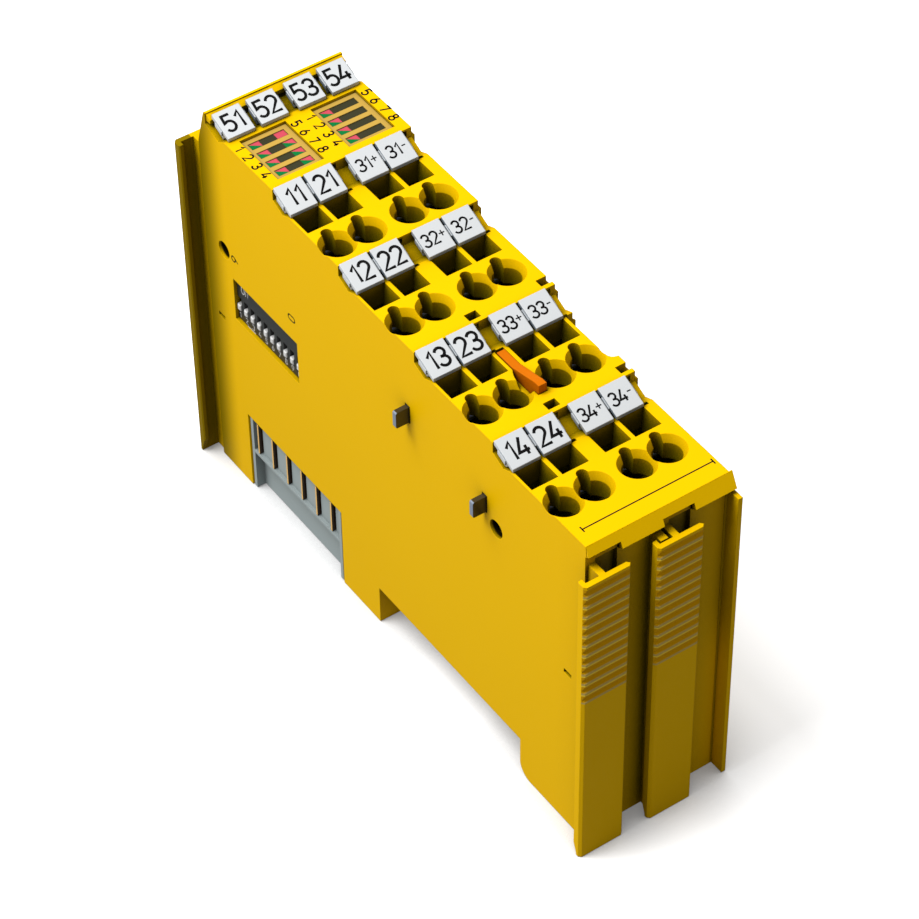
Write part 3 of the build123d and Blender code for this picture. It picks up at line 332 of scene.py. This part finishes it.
def moulded_skin_and_shade():
    """Moulded plastic: a fine sparked grain, a slow drift of colour, an uneven gloss, and painted shade in
    hollows.

    The gloss is its middle value plus the unevenness times the grain's height over a half. The painted shade
    grows as the openness falls from clear to dark. Near the floor only the piece's own hollows count.
    """
    group, given, out = new_group("moulded_skin_and_shade", {
        "Colour": (0.8, 0.8, 0.8, 1), "Drift Colour": (0.7, 0.7, 0.7, 1), "Drift": 0.3, "Grain Size": 9000.0,
        "Gloss": 0.45, "Unevenness": 0.1, "Hollow Colour": (0.1, 0.1, 0.1, 1), "Hollow Reach": 0.008,
        "Hollow Dark": 0.2, "Hollow Clear": 0.95}, SURFACE)
    place = object_place(group)
    grain = noise(group, place, given["Grain Size"])
    drift = all_of(group, noise(group, place, DRIFT_SCALE, detail=3.0), given["Drift"])
    colour = tinted(group, drift, given["Colour"], given["Drift Colour"])
    uneven = math_output(group, "SUBTRACT", grain, 0.5)
    gloss = math_output(group, "MULTIPLY_ADD", uneven, given["Unevenness"], given["Gloss"])
    _, _, z = millimetre_axes(group)
    # Painted shade: where the surface is little open, its colour turns towards the hollow shade colour
    own, whole = (openness(group, given["Hollow Reach"], only_own) for only_own in (True, False))
    open_share = mixed(group, "FLOAT", step_mask(group, z, *AROUND_COUNTS), own, whole)
    clear = step_mask(group, open_share, given["Hollow Dark"], given["Hollow Clear"], "LINEAR")
    given_out(group, out, Colour=tinted(group, clear, given["Hollow Colour"], colour), Roughness=gloss,
              Height=grain)
    return group


# Rolled strip: the scales of its lines along each axis and of its dull spots, and how rough dull spots get
STRIP_STRETCH = (9000, 9000, 500)
SPOT_SCALE = 420.0
DULL_ROUGHNESS = 0.25


def drawn_metal():
    """Rolled strip: fine lines along Z from stretched noise, and faint dull spots from a coarser noise."""
    group, given, out = new_group("drawn_metal", {
        "Colour": (0.8, 0.8, 0.8, 1), "Dull Colour": (0.5, 0.5, 0.5, 1), "Dullness": 0.4, "Gloss": 0.3},
        SURFACE)
    place = object_place(group)
    stretch = node(group, "ShaderNodeMapping", Scale=STRIP_STRETCH)
    group.links.new(place, stretch.inputs["Vector"])
    lines = noise(group, stretch.outputs["Vector"], 1.0)
    dull = all_of(group, noise(group, place, SPOT_SCALE, detail=4.0), given["Dullness"])
    colour = tinted(group, dull, given["Colour"], given["Dull Colour"])
    gloss = math_output(group, "MULTIPLY_ADD", dull, DULL_ROUGHNESS, given["Gloss"])
    given_out(group, out, Colour=colour, Roughness=gloss, Height=lines)
    return group


# Where the housing's painted shade, painted highlights and leaned shading start and are whole, in
# millimetres, and the middles of the two peg holes, whose insides are painted with shade
PEG_HOLES = [(56.4, 38.7), (-12.2, 38.2)]
PEG_RADIUS = (1.65, 1.55)
PEG_MOUTH = (-11.8, -11.45)
PEG_FLOOR = (-6.0, -6.5)
ON_LEFT_WALL = (-11.7, -11.95)
FAR_END_DIMS = (55.2, 61.6)
FAR_GRIP = (61.3, 61.6)
FAR_HALF = (10.0, 20.0)
NEAR_GRIP_FRONT = (-34.9, -35.0)
FAR_GRIP_FRONT = (64.1, 64.2)
SKIRT_FRONT = (-32.1, -32.2)
SKIRT_LOW_END = (48.9, 49.0)

# Ribs of the near grips: their top, run, pitch and soft edge, and how much higher the far grips' ribs lie
RIBS_TOP = 47.7
RIBS_RUN = 22.4
RIB_PITCH = 1.89
RIBS_EDGE = 0.02
FAR_RIBS_RISE = 6.85

# Shares of a rib's pitch where the groove's painted shade turns into the rib side's painted shade and that
# into the crest's painted highlight
GROOVE_ENDS = (0.64, 0.72)
CREST_STARTS = (0.86, 0.92)

# How far a surface turns to an axis where a look starts and where it is whole
TURNED_NEAR = (-0.5, -0.8)
SLIGHTLY_NEAR = (-0.2, -0.4)
SLIGHTLY_FAR = (0.2, 0.4)
SLIGHTLY_UP = (0.25, 0.4)
TURNED_LEFT = (-0.3, -0.8)

# How dark the painted shade on the far grips' near faces is, and the way in which the skirt's slope is lit
FAR_GRIP_DIMMING = 0.6
SKIRT_LEAN = (0.0, -0.76, 0.65)


def housing_places():
    """Places of the housing with painted shade and painted highlights, and a place with leaned shading.

    They are the peg holes, painted dark with shade in the places nearer to a hole's middle than its radius,
    the ribs of the grips, banded with painted shade and painted highlights, the far end, darkened with
    painted shade, and the skirt's slope, whose shading is leaned upwards.
    """
    group, given, out = new_group("housing_places", {
        "Colour": (0.8, 0.8, 0.8, 1), "Normal": (0, 0, 0), "Deep Colour": (0.01, 0.01, 0.01, 1),
        "Dim Colour": (0.1, 0.1, 0.1, 1), "Groove Colour": (0.5, 0.5, 0.5, 1),
        "Rib Colour": (0.6, 0.6, 0.6, 1), "Crest Colour": (0.8, 0.8, 0.8, 1), "Dimming": 0.83},
        {"Colour": "NodeSocketColor", "Normal": "NodeSocketVector"})
    x, y, z = millimetre_axes(group)
    _, along, up = facing_axes(group)

    def mask(value, limits):
        return step_mask(group, value, *limits)

    # Painted shade: the left wall darkens towards the far grips, and the far grips' near faces are darkened
    far_wall = all_of(group, mask(y, FAR_END_DIMS), mask(x, ON_LEFT_WALL), given["Dimming"])
    far_grip = all_of(group, mask(y, FAR_GRIP), mask(along, TURNED_NEAR), FAR_GRIP_DIMMING)
    dim = math_output(group, "MAXIMUM", far_wall, far_grip)
    colour = tinted(group, dim, given["Colour"], given["Dim Colour"])

    ribs_top = math_output(group, "MULTIPLY_ADD", mask(y, FAR_HALF), FAR_RIBS_RISE, RIBS_TOP)
    depth = math_output(group, "SUBTRACT", ribs_top, z)
    phase = math_output(group, "FRACT", math_output(group, "DIVIDE", depth, RIB_PITCH))
    near_front = all_of(group, mask(y, NEAR_GRIP_FRONT), mask(along, SLIGHTLY_NEAR))
    far_front = all_of(group, mask(y, FAR_GRIP_FRONT), mask(along, SLIGHTLY_FAR))
    ribbed = all_of(group, math_output(group, "MAXIMUM", near_front, far_front),
                    mask(depth, (-RIBS_EDGE, RIBS_EDGE)),
                    mask(depth, (RIBS_RUN + RIBS_EDGE, RIBS_RUN - RIBS_EDGE)))
    # Painted shade in the grooves and on the ribs' sides, and a painted highlight on their crests
    rib_light_bands = tinted(group, mask(phase, GROOVE_ENDS), given["Groove Colour"], given["Rib Colour"])
    rib_light_bands = tinted(group, mask(phase, CREST_STARTS), rib_light_bands, given["Crest Colour"])
    colour = tinted(group, ribbed, colour, rib_light_bands)

    # Painted shade inside the two peg holes
    for hole_y, hole_z in PEG_HOLES:
        sides = [math_output(group, "POWER", math_output(group, "SUBTRACT", value, middle), 2.0)
                 for value, middle in ((y, hole_y), (z, hole_z))]
        away = math_output(group, "POWER", math_output(group, "ADD", *sides), 0.5)
        dark = all_of(group, mask(away, PEG_RADIUS), mask(x, PEG_MOUTH), mask(x, PEG_FLOOR))
        colour = tinted(group, dark, colour, given["Deep Colour"])

    skirt = all_of(group, mask(y, SKIRT_FRONT), mask(z, SKIRT_LOW_END), mask(along, TURNED_NEAR),
                   mask(up, SLIGHTLY_UP))
    given_out(group, out, Colour=colour, Normal=mixed(group, "VECTOR", skirt, given["Normal"], SKIRT_LEAN))
    return group


STRIP_UNEVENNESS = 0.1


def strip_light_and_shade():
    """Contact strips: painted light on faces that turn left, painted shade on all others, and an uneven
    gloss.
    """
    group, given, out = new_group("strip_light_and_shade", {
        "Edge Colour": (0.8, 0.8, 0.8, 1), "Side Colour": (0.1, 0.1, 0.1, 1), "Gloss": 0.3,
        "Grain Size": 3000.0}, SURFACE)
    across, _, _ = facing_axes(group)
    grain = noise(group, object_place(group), given["Grain Size"])
    # Painted light on faces that turn left and painted shade on all others
    edge = step_mask(group, across, *TURNED_LEFT)
    colour = tinted(group, edge, given["Side Colour"], given["Edge Colour"])
    gloss = math_output(group, "MULTIPLY_ADD", grain, STRIP_UNEVENNESS, given["Gloss"])
    given_out(group, out, Colour=colour, Roughness=gloss, Height=grain)
    return group


SKIN_AND_SHADE = moulded_skin_and_shade()
STRIP = drawn_metal()
PLACES = housing_places()
SIDES = strip_light_and_shade()

# In metres, how deep the grain is and how wide edges look rounded
GRAIN_DEPTH = 0.00002
EDGE_ROUNDING = 0.00018

# How much of a plastic's colour is left under the painted shade in its hollows, and how strong the grain of
# metal is
HOLLOW_SHADE_SHARE = 0.3
METAL_GRAIN = 0.2


def material(name, group, values, bump, **sockets):
    """A finish from one group, whose colour, roughness and height feed the shader, with softly lit edges."""
    made = bpy.data.materials.new(name)
    made.use_nodes = True
    tree = made.node_tree
    shader = tree.nodes["Principled BSDF"]
    skin = tree.nodes.new("ShaderNodeGroup")
    skin.node_tree = group
    for label, value in values.items():
        skin.inputs[label].default_value = value
    dent = node(tree, "ShaderNodeBump", Strength=bump, Distance=GRAIN_DEPTH)
    edge = node(tree, "ShaderNodeBevel", Radius=EDGE_ROUNDING, samples=4)
    tree.links.new(edge.outputs["Normal"], dent.inputs["Normal"])
    tree.links.new(skin.outputs["Colour"], shader.inputs["Base Color"])
    tree.links.new(skin.outputs["Roughness"], shader.inputs["Roughness"])
    tree.links.new(skin.outputs["Height"], dent.inputs["Height"])
    tree.links.new(dent.outputs["Normal"], shader.inputs["Normal"])
    for label, value in sockets.items():
        shader.inputs[label.replace("_", " ")].default_value = value
    return made


def plastic(name, colour, drift, gloss=0.45, grain=9000.0, bump=0.25, hollow_shade=None, **sockets):
    """Moulded plastic in a colour that drifts a little towards another, with painted shade of a colour of its
    own in hollows.
    """
    hollow_shade = hollow_shade or [HOLLOW_SHADE_SHARE * part for part in colour]
    return material(name, SKIN_AND_SHADE, {"Colour": (*colour, 1), "Drift Colour": (*drift, 1), "Gloss": gloss,
                                 "Grain Size": grain, "Hollow Colour": (*hollow_shade, 1)}, bump, **sockets)


def metal(name, colour, dull, gloss=0.3, **sockets):
    """Drawn or rolled strip metal."""
    return material(name, STRIP, {"Colour": (*colour, 1), "Dull Colour": (*dull, 1), "Gloss": gloss},
                    METAL_GRAIN, Metallic=1.0, **sockets)


def contact(name, edge, side, gloss, metallic):
    """A contact strip with painted light on its left-turned edges and painted shade on its other faces."""
    return material(name, SIDES, {"Edge Colour": (*edge, 1), "Side Colour": (*side, 1), "Gloss": gloss},
                    METAL_GRAIN, Metallic=metallic)


def placed_looks(made, **colours):
    """The housing's own places laid over its finish: their colours and the skirt's lean."""
    tree = made.node_tree
    shader = tree.nodes["Principled BSDF"]
    places = tree.nodes.new("ShaderNodeGroup")
    places.node_tree = PLACES
    for label, value in colours.items():
        places.inputs[label.replace("_", " ")].default_value = value
    for label, target in (("Colour", "Base Color"), ("Normal", "Normal")):
        tree.links.new(shader.inputs[target].links[0].from_socket, places.inputs[label])
        tree.links.new(places.outputs[label], shader.inputs[target])
    return made


# The hollow colours of the plastics below are painted shade in their hollows; the housing's peg hole, far
# end, groove and rib side colours are painted shade, and its crest colour a painted highlight
yellow_housing = placed_looks(
    plastic("yellow_housing", (0.90, 0.53, 0.0), (0.84, 0.48, 0.0), gloss=0.5, hollow_shade=(0.09, 0.07, 0.0),
            Specular_IOR_Level=0.08, Specular_Tint=(1.0, 0.8, 0.2, 1)),
    Deep_Colour=(0.006, 0.005, 0.001, 1), Dim_Colour=(0.12, 0.09, 0.0, 1), Groove_Colour=(0.74, 0.38, 0.0, 1),
    Rib_Colour=(0.62, 0.44, 0.11, 1), Crest_Colour=(1.0, 0.72, 0.06, 1))
grey_carrier = plastic("grey_carrier", (0.37, 0.43, 0.43), (0.31, 0.37, 0.37), gloss=0.5)
white_tag = plastic("white_tag", (0.62, 0.64, 0.65), (0.56, 0.58, 0.60), gloss=0.4, grain=6000.0, bump=0.4,
                    hollow_shade=(0.10, 0.13, 0.16), Specular_IOR_Level=0.3)
amber_window = plastic("amber_window", (0.56, 0.35, 0.06), (0.46, 0.28, 0.05), gloss=0.3, bump=0.05,
                       hollow_shade=(0.22, 0.17, 0.05), Specular_IOR_Level=0.25)
dark_bar = plastic("dark_bar", (0.042, 0.040, 0.018), (0.030, 0.028, 0.014), gloss=0.5,
                   Specular_IOR_Level=0.15)
lamp_cream = plastic("lamp_cream", (0.75, 0.70, 0.50), (0.65, 0.60, 0.42), gloss=0.3)
black_switch = plastic("black_switch", (0.014, 0.018, 0.018), (0.02, 0.024, 0.024), gloss=0.4)
white_slider = plastic("white_slider", (0.75, 0.75, 0.74), (0.66, 0.66, 0.65), gloss=0.4)
orange_tab = plastic("orange_tab", (0.64, 0.152, 0.0), (0.58, 0.13, 0.0), gloss=0.5, Specular_IOR_Level=0.08)
orange_latch = plastic("orange_latch", (0.75, 0.16, 0.01), (0.62, 0.12, 0.01), gloss=0.5)
black_ink = plastic("black_ink", (0.004, 0.004, 0.004), (0.008, 0.008, 0.008), gloss=0.7, bump=0.1,
                    Specular_IOR_Level=0.1)
white_ink = plastic("white_ink", (0.8, 0.8, 0.8), (0.7, 0.7, 0.7), gloss=0.6, bump=0.1)
red_lens = plastic("red_lens", (0.62, 0.075, 0.11), (0.54, 0.06, 0.09), gloss=0.4, bump=0.05,
                   Specular_IOR_Level=0.2)
green_lens = plastic("green_lens", (0.0, 0.19, 0.04), (0.0, 0.15, 0.03), gloss=0.4, bump=0.05,
                     Specular_IOR_Level=0.2)
board_green = plastic("board_green", (0.02, 0.13, 0.05), (0.03, 0.20, 0.07), gloss=0.3, grain=2500.0,
                      bump=0.3)
# Copper and tinned strips: painted light on their left-turned faces, painted shade on the rest
copper = contact("copper", (1.0, 0.62, 0.20), (0.032, 0.011, 0.002), gloss=0.4, metallic=0.1)
tinned = contact("tinned", (0.30, 0.36, 0.46), (0.045, 0.038, 0.022), gloss=0.3, metallic=0.35)
bright_steel = metal("bright_steel", (0.62, 0.66, 0.74), (0.40, 0.43, 0.50), gloss=0.25)
clamp_steel = metal("clamp_steel", (0.15, 0.18, 0.28), (0.08, 0.10, 0.16), gloss=0.35)

FINISHES = {
    "housing": yellow_housing, "side_cover": yellow_housing, "bus_contact_carrier": grey_carrier,
    "bus_contacts": copper, "release_tab": orange_tab, "rail_latch": orange_latch,
    "latch_spring": bright_steel, "main_board": board_green, "led_board": board_green,
    "switch_body": black_switch,
}
# Finishes of nodes that come in numbers, by a part of their names
ALIKE = {
    "switch_slider": white_slider, "light_window": amber_window, "light_bars": dark_bar, "lamps": lamp_cream,
    "power_contact": tinned, "clamp_springs": clamp_steel, "clamp_bars": clamp_steel, "_tag_": white_tag,
}
for name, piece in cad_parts.items():
    finish = FINISHES.get(name)
    for part, other in ALIKE.items():
        if part in name:
            finish = other
    piece.data.materials.clear()
    piece.data.materials.append(finish)

# Printed marks
TAG_LABELS = [
    ["51", "52", "53", "54"],
    ["11", "21", "31+", "31-"],
    ["12", "22", "32+", "32-"],
    ["13", "23", "33+", "33-"],
    ["14", "24", "34+", "34-"],
]
BIG_FIGURE = 2.75
SMALL_FIGURE = 1.9
FIGURE_WEIGHT = 0.155

# The two ends of a tag's slope: how far before the channel, and how far over the step's low and high face
SLOPE_LOW_END = (4.45, 0.7)
SLOPE_HIGH_END = (0.12, 0.35)


def tag_numbers():
    """The plain numbers on the tags, each lying on the tag's slope from its low end to its high end."""
    prints = []
    for step, labels in enumerate(TAG_LABELS):
        near = np.array([CHANNELS[step] - SLOPE_LOW_END[0], LOW_FACES[step] + SLOPE_LOW_END[1]])
        far = np.array([CHANNELS[step] - SLOPE_HIGH_END[0], HIGH_FACES[step] + SLOPE_HIGH_END[1]])
        middle = (near + far) / 2
        for x, label in zip(ROW_TAGS_X if step else RIM_TAGS_X, labels):
            size = SMALL_FIGURE if len(label) > 2 else BIG_FIGURE
            points, faces = figures(label, size, size * FIGURE_WEIGHT)
            prints.append((placed(points, [x, *middle], [1, 0, 0], [0, *(far - near)]), faces))
    return joined(prints)


put_mesh("tag_numbers", *tag_numbers(), black_ink, "tag_plastic")

# Figures beside the light windows: their height and weight, and their places from the window's sides and end
LIGHT_FIGURE = 1.5
LIGHT_FIGURE_WEIGHT = 0.27
LEFT_COLUMN_GAP = 0.85
RIGHT_COLUMN_GAP = 0.95
FIRST_LIGHT_FIGURE = 1.45


def light_numbers():
    """Two columns of small figures beside each light window, turned a quarter as they read from the left."""
    prints = []
    for x in WINDOWS_X:
        for column, first in ((x - LEFT_COLUMN_GAP, 1), (x + WINDOW_WIDTH + RIGHT_COLUMN_GAP, 1 + BARS)):
            for bar in range(BARS):
                y = WINDOW_Y + WINDOW_LENGTH - FIRST_LIGHT_FIGURE - BAR_PITCH * bar
                points, faces = figures(str(first + bar), LIGHT_FIGURE, LIGHT_FIGURE_WEIGHT)
                prints.append((placed(points, [column, y, LIGHTS_FACE], [0, -1, 0], [1, 0, 0]), faces))
    return joined(prints)


put_mesh("light_numbers", *light_numbers(), black_ink, "housing_plastic")

# The narrow ledge between the rim and the four tags under it
RIM_LEDGE = [(57.97, 61.3), (59.04, 61.3), (59.04, 62.4), (57.97, 61.95)]
RIM_LEDGE_RUN = (-11.8, 11.3)
put_mesh("rim_ledge", *bar_along_x(RIM_LEDGE, *RIM_LEDGE_RUN), yellow_housing, "housing_plastic")

# The sloped front of the skirt, whole and over the grips, where its lower edge is notched
SKIRT_WHOLE = [(-32.0, 48.95), (-32.0, 51.8), (-32.2, 51.88), (-33.4, 49.46), (-32.45, 48.85)]
SKIRT_NOTCHED = [(-32.0, 50.1), (-32.0, 51.8), (-32.2, 51.88), (-32.93, 50.41), (-32.45, 50.05)]
SKIRT_RUNS = [(-11.95, -6.85, SKIRT_NOTCHED), (-6.85, 0.0, SKIRT_WHOLE), (0.0, 5.15, SKIRT_NOTCHED),
              (5.15, 11.95, SKIRT_WHOLE)]
put_mesh("skirt_front", *joined([bar_along_x(outline, x0, x1) for x0, x1, outline in SKIRT_RUNS]),
         yellow_housing, "housing_plastic")

LENS_LENGTH = 1.7


def lens_ends():
    """The coloured ends of the light bars: each end's far right corner is red and its near left one green.

    The left window's bars have both ends, the right window's only the left one. The farthest bar's right end
    is red as a whole.
    """
    reds, greens = [], []
    lift = [0, 0, BAR_TOP + INK_LIFT]
    for window, x in enumerate(WINDOWS_X):
        for bar in range(BARS):
            y0 = WINDOW_Y + (WINDOW_LENGTH - BAR_PITCH * (BARS - 1) - BAR_WIDTH) / 2 + BAR_PITCH * bar
            y1 = y0 + BAR_WIDTH
            ends = [x + BAR_START]
            if window == 0:
                ends.append(x + BAR_START + BAR_LENGTH - LENS_LENGTH)
            for x0 in ends:
                x1 = x0 + LENS_LENGTH
                whole = bar == BARS - 1 and x0 > x + BAR_START
                red = [(x0, y0), (x1, y0), (x1, y1), (x0, y1)] if whole else [(x1, y0), (x1, y1), (x0, y1)]
                points, faces = slab(red, INK_THICKNESS)
                reds.append((points + lift, faces))
                if not whole:
                    points, faces = slab([(x0, y0), (x1, y0), (x0, y1)], INK_THICKNESS)
                    greens.append((points + lift, faces))
    return joined(reds), joined(greens)


red_ends, green_ends = lens_ends()
put_mesh("red_lens_ends", *red_ends, red_lens, "bar_plastic")
put_mesh("green_lens_ends", *green_ends, green_lens, "bar_plastic")

# Prints of the switch, in millimetres: places from its middle and its low edge, heights and stroke weights
SLIDER_FIGURE = 1.0
SLIDER_FIGURE_WEIGHT = 0.12
SLIDER_FIGURE_RISE = 0.95
SWITCH_WORD = 1.3
SWITCH_WORD_WEIGHT = 0.17
SWITCH_WORD_AHEAD = 6.4
SWITCH_WORD_RISE = 6.5
SWITCH_LINES = [[(54.95, 28.8), (54.95, 32.2)], [(51.9, 26.72), (49.7, 26.72)]]

# The two figures on the wall near the switch, each with its place along the module and its height up
END_FIGURES = [("9", 53.5, 38.8), ("0", 38.4, 38.7)]
END_FIGURE = 1.7
END_FIGURE_WEIGHT = 0.22


def on_left(flat, x, y, z, along=(0, -1, 0), up=(0, 0, 1)):
    """A flat print laid on a face that turns to the left, read from outside."""
    points, faces = flat
    return placed(points, [x, y, z], along, up), faces


def switch_prints():
    """The figures under the sliders, the word above them and two plain lines, white on the black face."""
    prints = []
    for index in range(SLIDERS):
        y = SWITCH_MIDDLE_Y + SLIDER_PITCH * ((SLIDERS - 1) / 2 - index)
        figure = figures(str((index + 1) % 10), SLIDER_FIGURE, SLIDER_FIGURE_WEIGHT)
        prints.append(on_left(figure, SWITCH_FACE_X, y, SWITCH_LOW_Z + SLIDER_FIGURE_RISE))
    prints.append(on_left(figures("ON", SWITCH_WORD, SWITCH_WORD_WEIGHT), SWITCH_FACE_X,
                          SWITCH_MIDDLE_Y + SWITCH_WORD_AHEAD, SWITCH_LOW_Z + SWITCH_WORD_RISE))
    for ends in SWITCH_LINES:
        prints.append(on_left(stroke([(-y, z) for y, z in ends], LINE_WIDTH), SWITCH_FACE_X, 0, 0))
    return joined(prints)


put_mesh("switch_prints", *switch_prints(), white_ink, "slider_plastic")
put_mesh("switch_end_numbers", *joined([
    on_left(figures(sign, END_FIGURE, END_FIGURE_WEIGHT), LEFT_WALL_X, y, z, along=(0, 0, 1), up=(0, 1, 0))
    for sign, y, z in END_FIGURES]), black_ink, "housing_plastic")

# The plain line on the last row's face: its two ends, its place and height, and half the length of its ticks
ROW_LINE_X = (-10.5, 10.9)
ROW_LINE_Y = -29.4
ROW_LINE_Z = 51.9
TICK_HALF = 0.53


def near_row_line():
    """A plain line with a tick at each end along the near edge of the last row's face."""
    runs = [[(x, ROW_LINE_Y) for x in ROW_LINE_X]]
    runs += [[(x, ROW_LINE_Y - TICK_HALF), (x, ROW_LINE_Y + TICK_HALF)] for x in ROW_LINE_X]
    points, faces = joined([stroke(run, LINE_WIDTH) for run in runs])
    return placed(points, [0, 0, ROW_LINE_Z], [1, 0, 0], [0, 1, 0]), faces


put_mesh("near_row_line", *near_row_line(), black_ink, "housing_plastic")

# Studio and camera
AIR_STRENGTH = 0.3
KEY_PLACE = (-0.27, 0.11, 0.54)
KEY_TARGET = (0, 0.015, 0.03)
KEY_SIZE = 0.34
KEY_POWER = 4.8

scene = bpy.context.scene
scene.view_settings.view_transform = "Standard"
world = bpy.data.worlds.new("studio_air")
world.use_nodes = True
world.node_tree.nodes["Background"].inputs["Color"].default_value = (1.0, 1.0, 1.0, 1)
world.node_tree.nodes["Background"].inputs["Strength"].default_value = AIR_STRENGTH
scene.world = world


def turned(name, data, sides, place):
    """An object at a place, turned so that its x, y and z axes are the three sides."""
    made = bpy.data.objects.new(name, data)
    scene.collection.objects.link(made)
    made.matrix_world = Matrix([[*(side[i] for side in sides), place[i]] for i in range(3)] + [[0, 0, 0, 1]])
    return made


def soft_light(name, place, target, size, power):
    """A square soft light at a place, turned to a target, in metres."""
    lamp = bpy.data.lights.new(name, "AREA")
    lamp.size = size
    lamp.energy = power
    way = np.asarray(target, float) - place
    back = -way / np.linalg.norm(way)
    side = np.cross([0, 1, 0], back)
    side /= np.linalg.norm(side)
    turned(name, lamp, (side, np.cross(back, side), back), place)


soft_light("key_light", KEY_PLACE, KEY_TARGET, KEY_SIZE, KEY_POWER)

# The floor: half its size and its gap under the module in metres, its colour for the camera and for the light
# that it sends back, its glow, and the soft shade near the module
FLOOR_HALF = 4
FLOOR_GAP = 0.0001
FLOOR_SEEN = (0.92, 0.92, 0.92, 1)
FLOOR_FOR_LIGHT = (0.22, 0.22, 0.22, 1)
FLOOR_GLOW = 0.6
SHADE_REACH = 0.012
SHADE_RANGE = (0.35, 1.0)
SHADE_DEEPEST = 0.25


def studio_floor():
    """A pale floor under the module: the camera sees it brighter than the light it sends back to the module.

    Where the module is near, a soft shade lowers that brightness as the openness falls.
    """
    made = bpy.data.materials.new("pale_floor")
    made.use_nodes = True
    tree = made.node_tree
    shader = tree.nodes["Principled BSDF"]
    shader.inputs["Roughness"].default_value = 0.9
    shader.inputs["Specular IOR Level"].default_value = 0.1
    shader.inputs["Emission Strength"].default_value = FLOOR_GLOW
    near = node(tree, "ShaderNodeAmbientOcclusion", Distance=SHADE_REACH, samples=6)
    soft = node(tree, "ShaderNodeMapRange")
    soft.inputs["From Min"].default_value, soft.inputs["From Max"].default_value = SHADE_RANGE
    soft.inputs["To Min"].default_value = SHADE_DEEPEST
    tree.links.new(near.outputs["AO"], soft.inputs["Value"])
    seen = node(tree, "ShaderNodeLightPath").outputs["Is Camera Ray"]
    glow = math_output(tree, "MULTIPLY", soft.outputs["Result"], seen)
    tree.links.new(glow, shader.inputs["Emission Color"])
    tree.links.new(tinted(tree, glow, FLOOR_FOR_LIGHT, FLOOR_SEEN), shader.inputs["Base Color"])
    mesh = bpy.data.meshes.new("floor")
    low = cad_box[0][2] - FLOOR_GAP
    corners = [(x * FLOOR_HALF, y * FLOOR_HALF, low) for x, y in ((-1, -1), (1, -1), (1, 1), (-1, 1))]
    mesh.from_pydata(corners, [], [(0, 1, 2, 3)])
    mesh.materials.append(made)
    piece = bpy.data.objects.new("floor", mesh)
    scene.collection.objects.link(piece)


studio_floor()

# Camera: its place, and its right, up and back ways, fitted to corners of the module; sensor and lens in
# millimetres
CAMERA_PLACE = (-0.202659, -0.283152, 0.385495)
CAMERA_RIGHT = (0.81972, -0.57266, -0.01102)
CAMERA_UP = (0.41291, 0.57750, 0.70427)
CAMERA_BACK = (-0.39694, -0.58186, 0.70985)
SENSOR = 36.0
LENS = 139.437
NEAREST_SEEN = 0.01
camera = turned("camera", bpy.data.cameras.new("camera"), (CAMERA_RIGHT, CAMERA_UP, CAMERA_BACK),
                CAMERA_PLACE)
camera.data.sensor_width = SENSOR
camera.data.lens = LENS
camera.data.clip_start = NEAREST_SEEN
scene.camera = camera
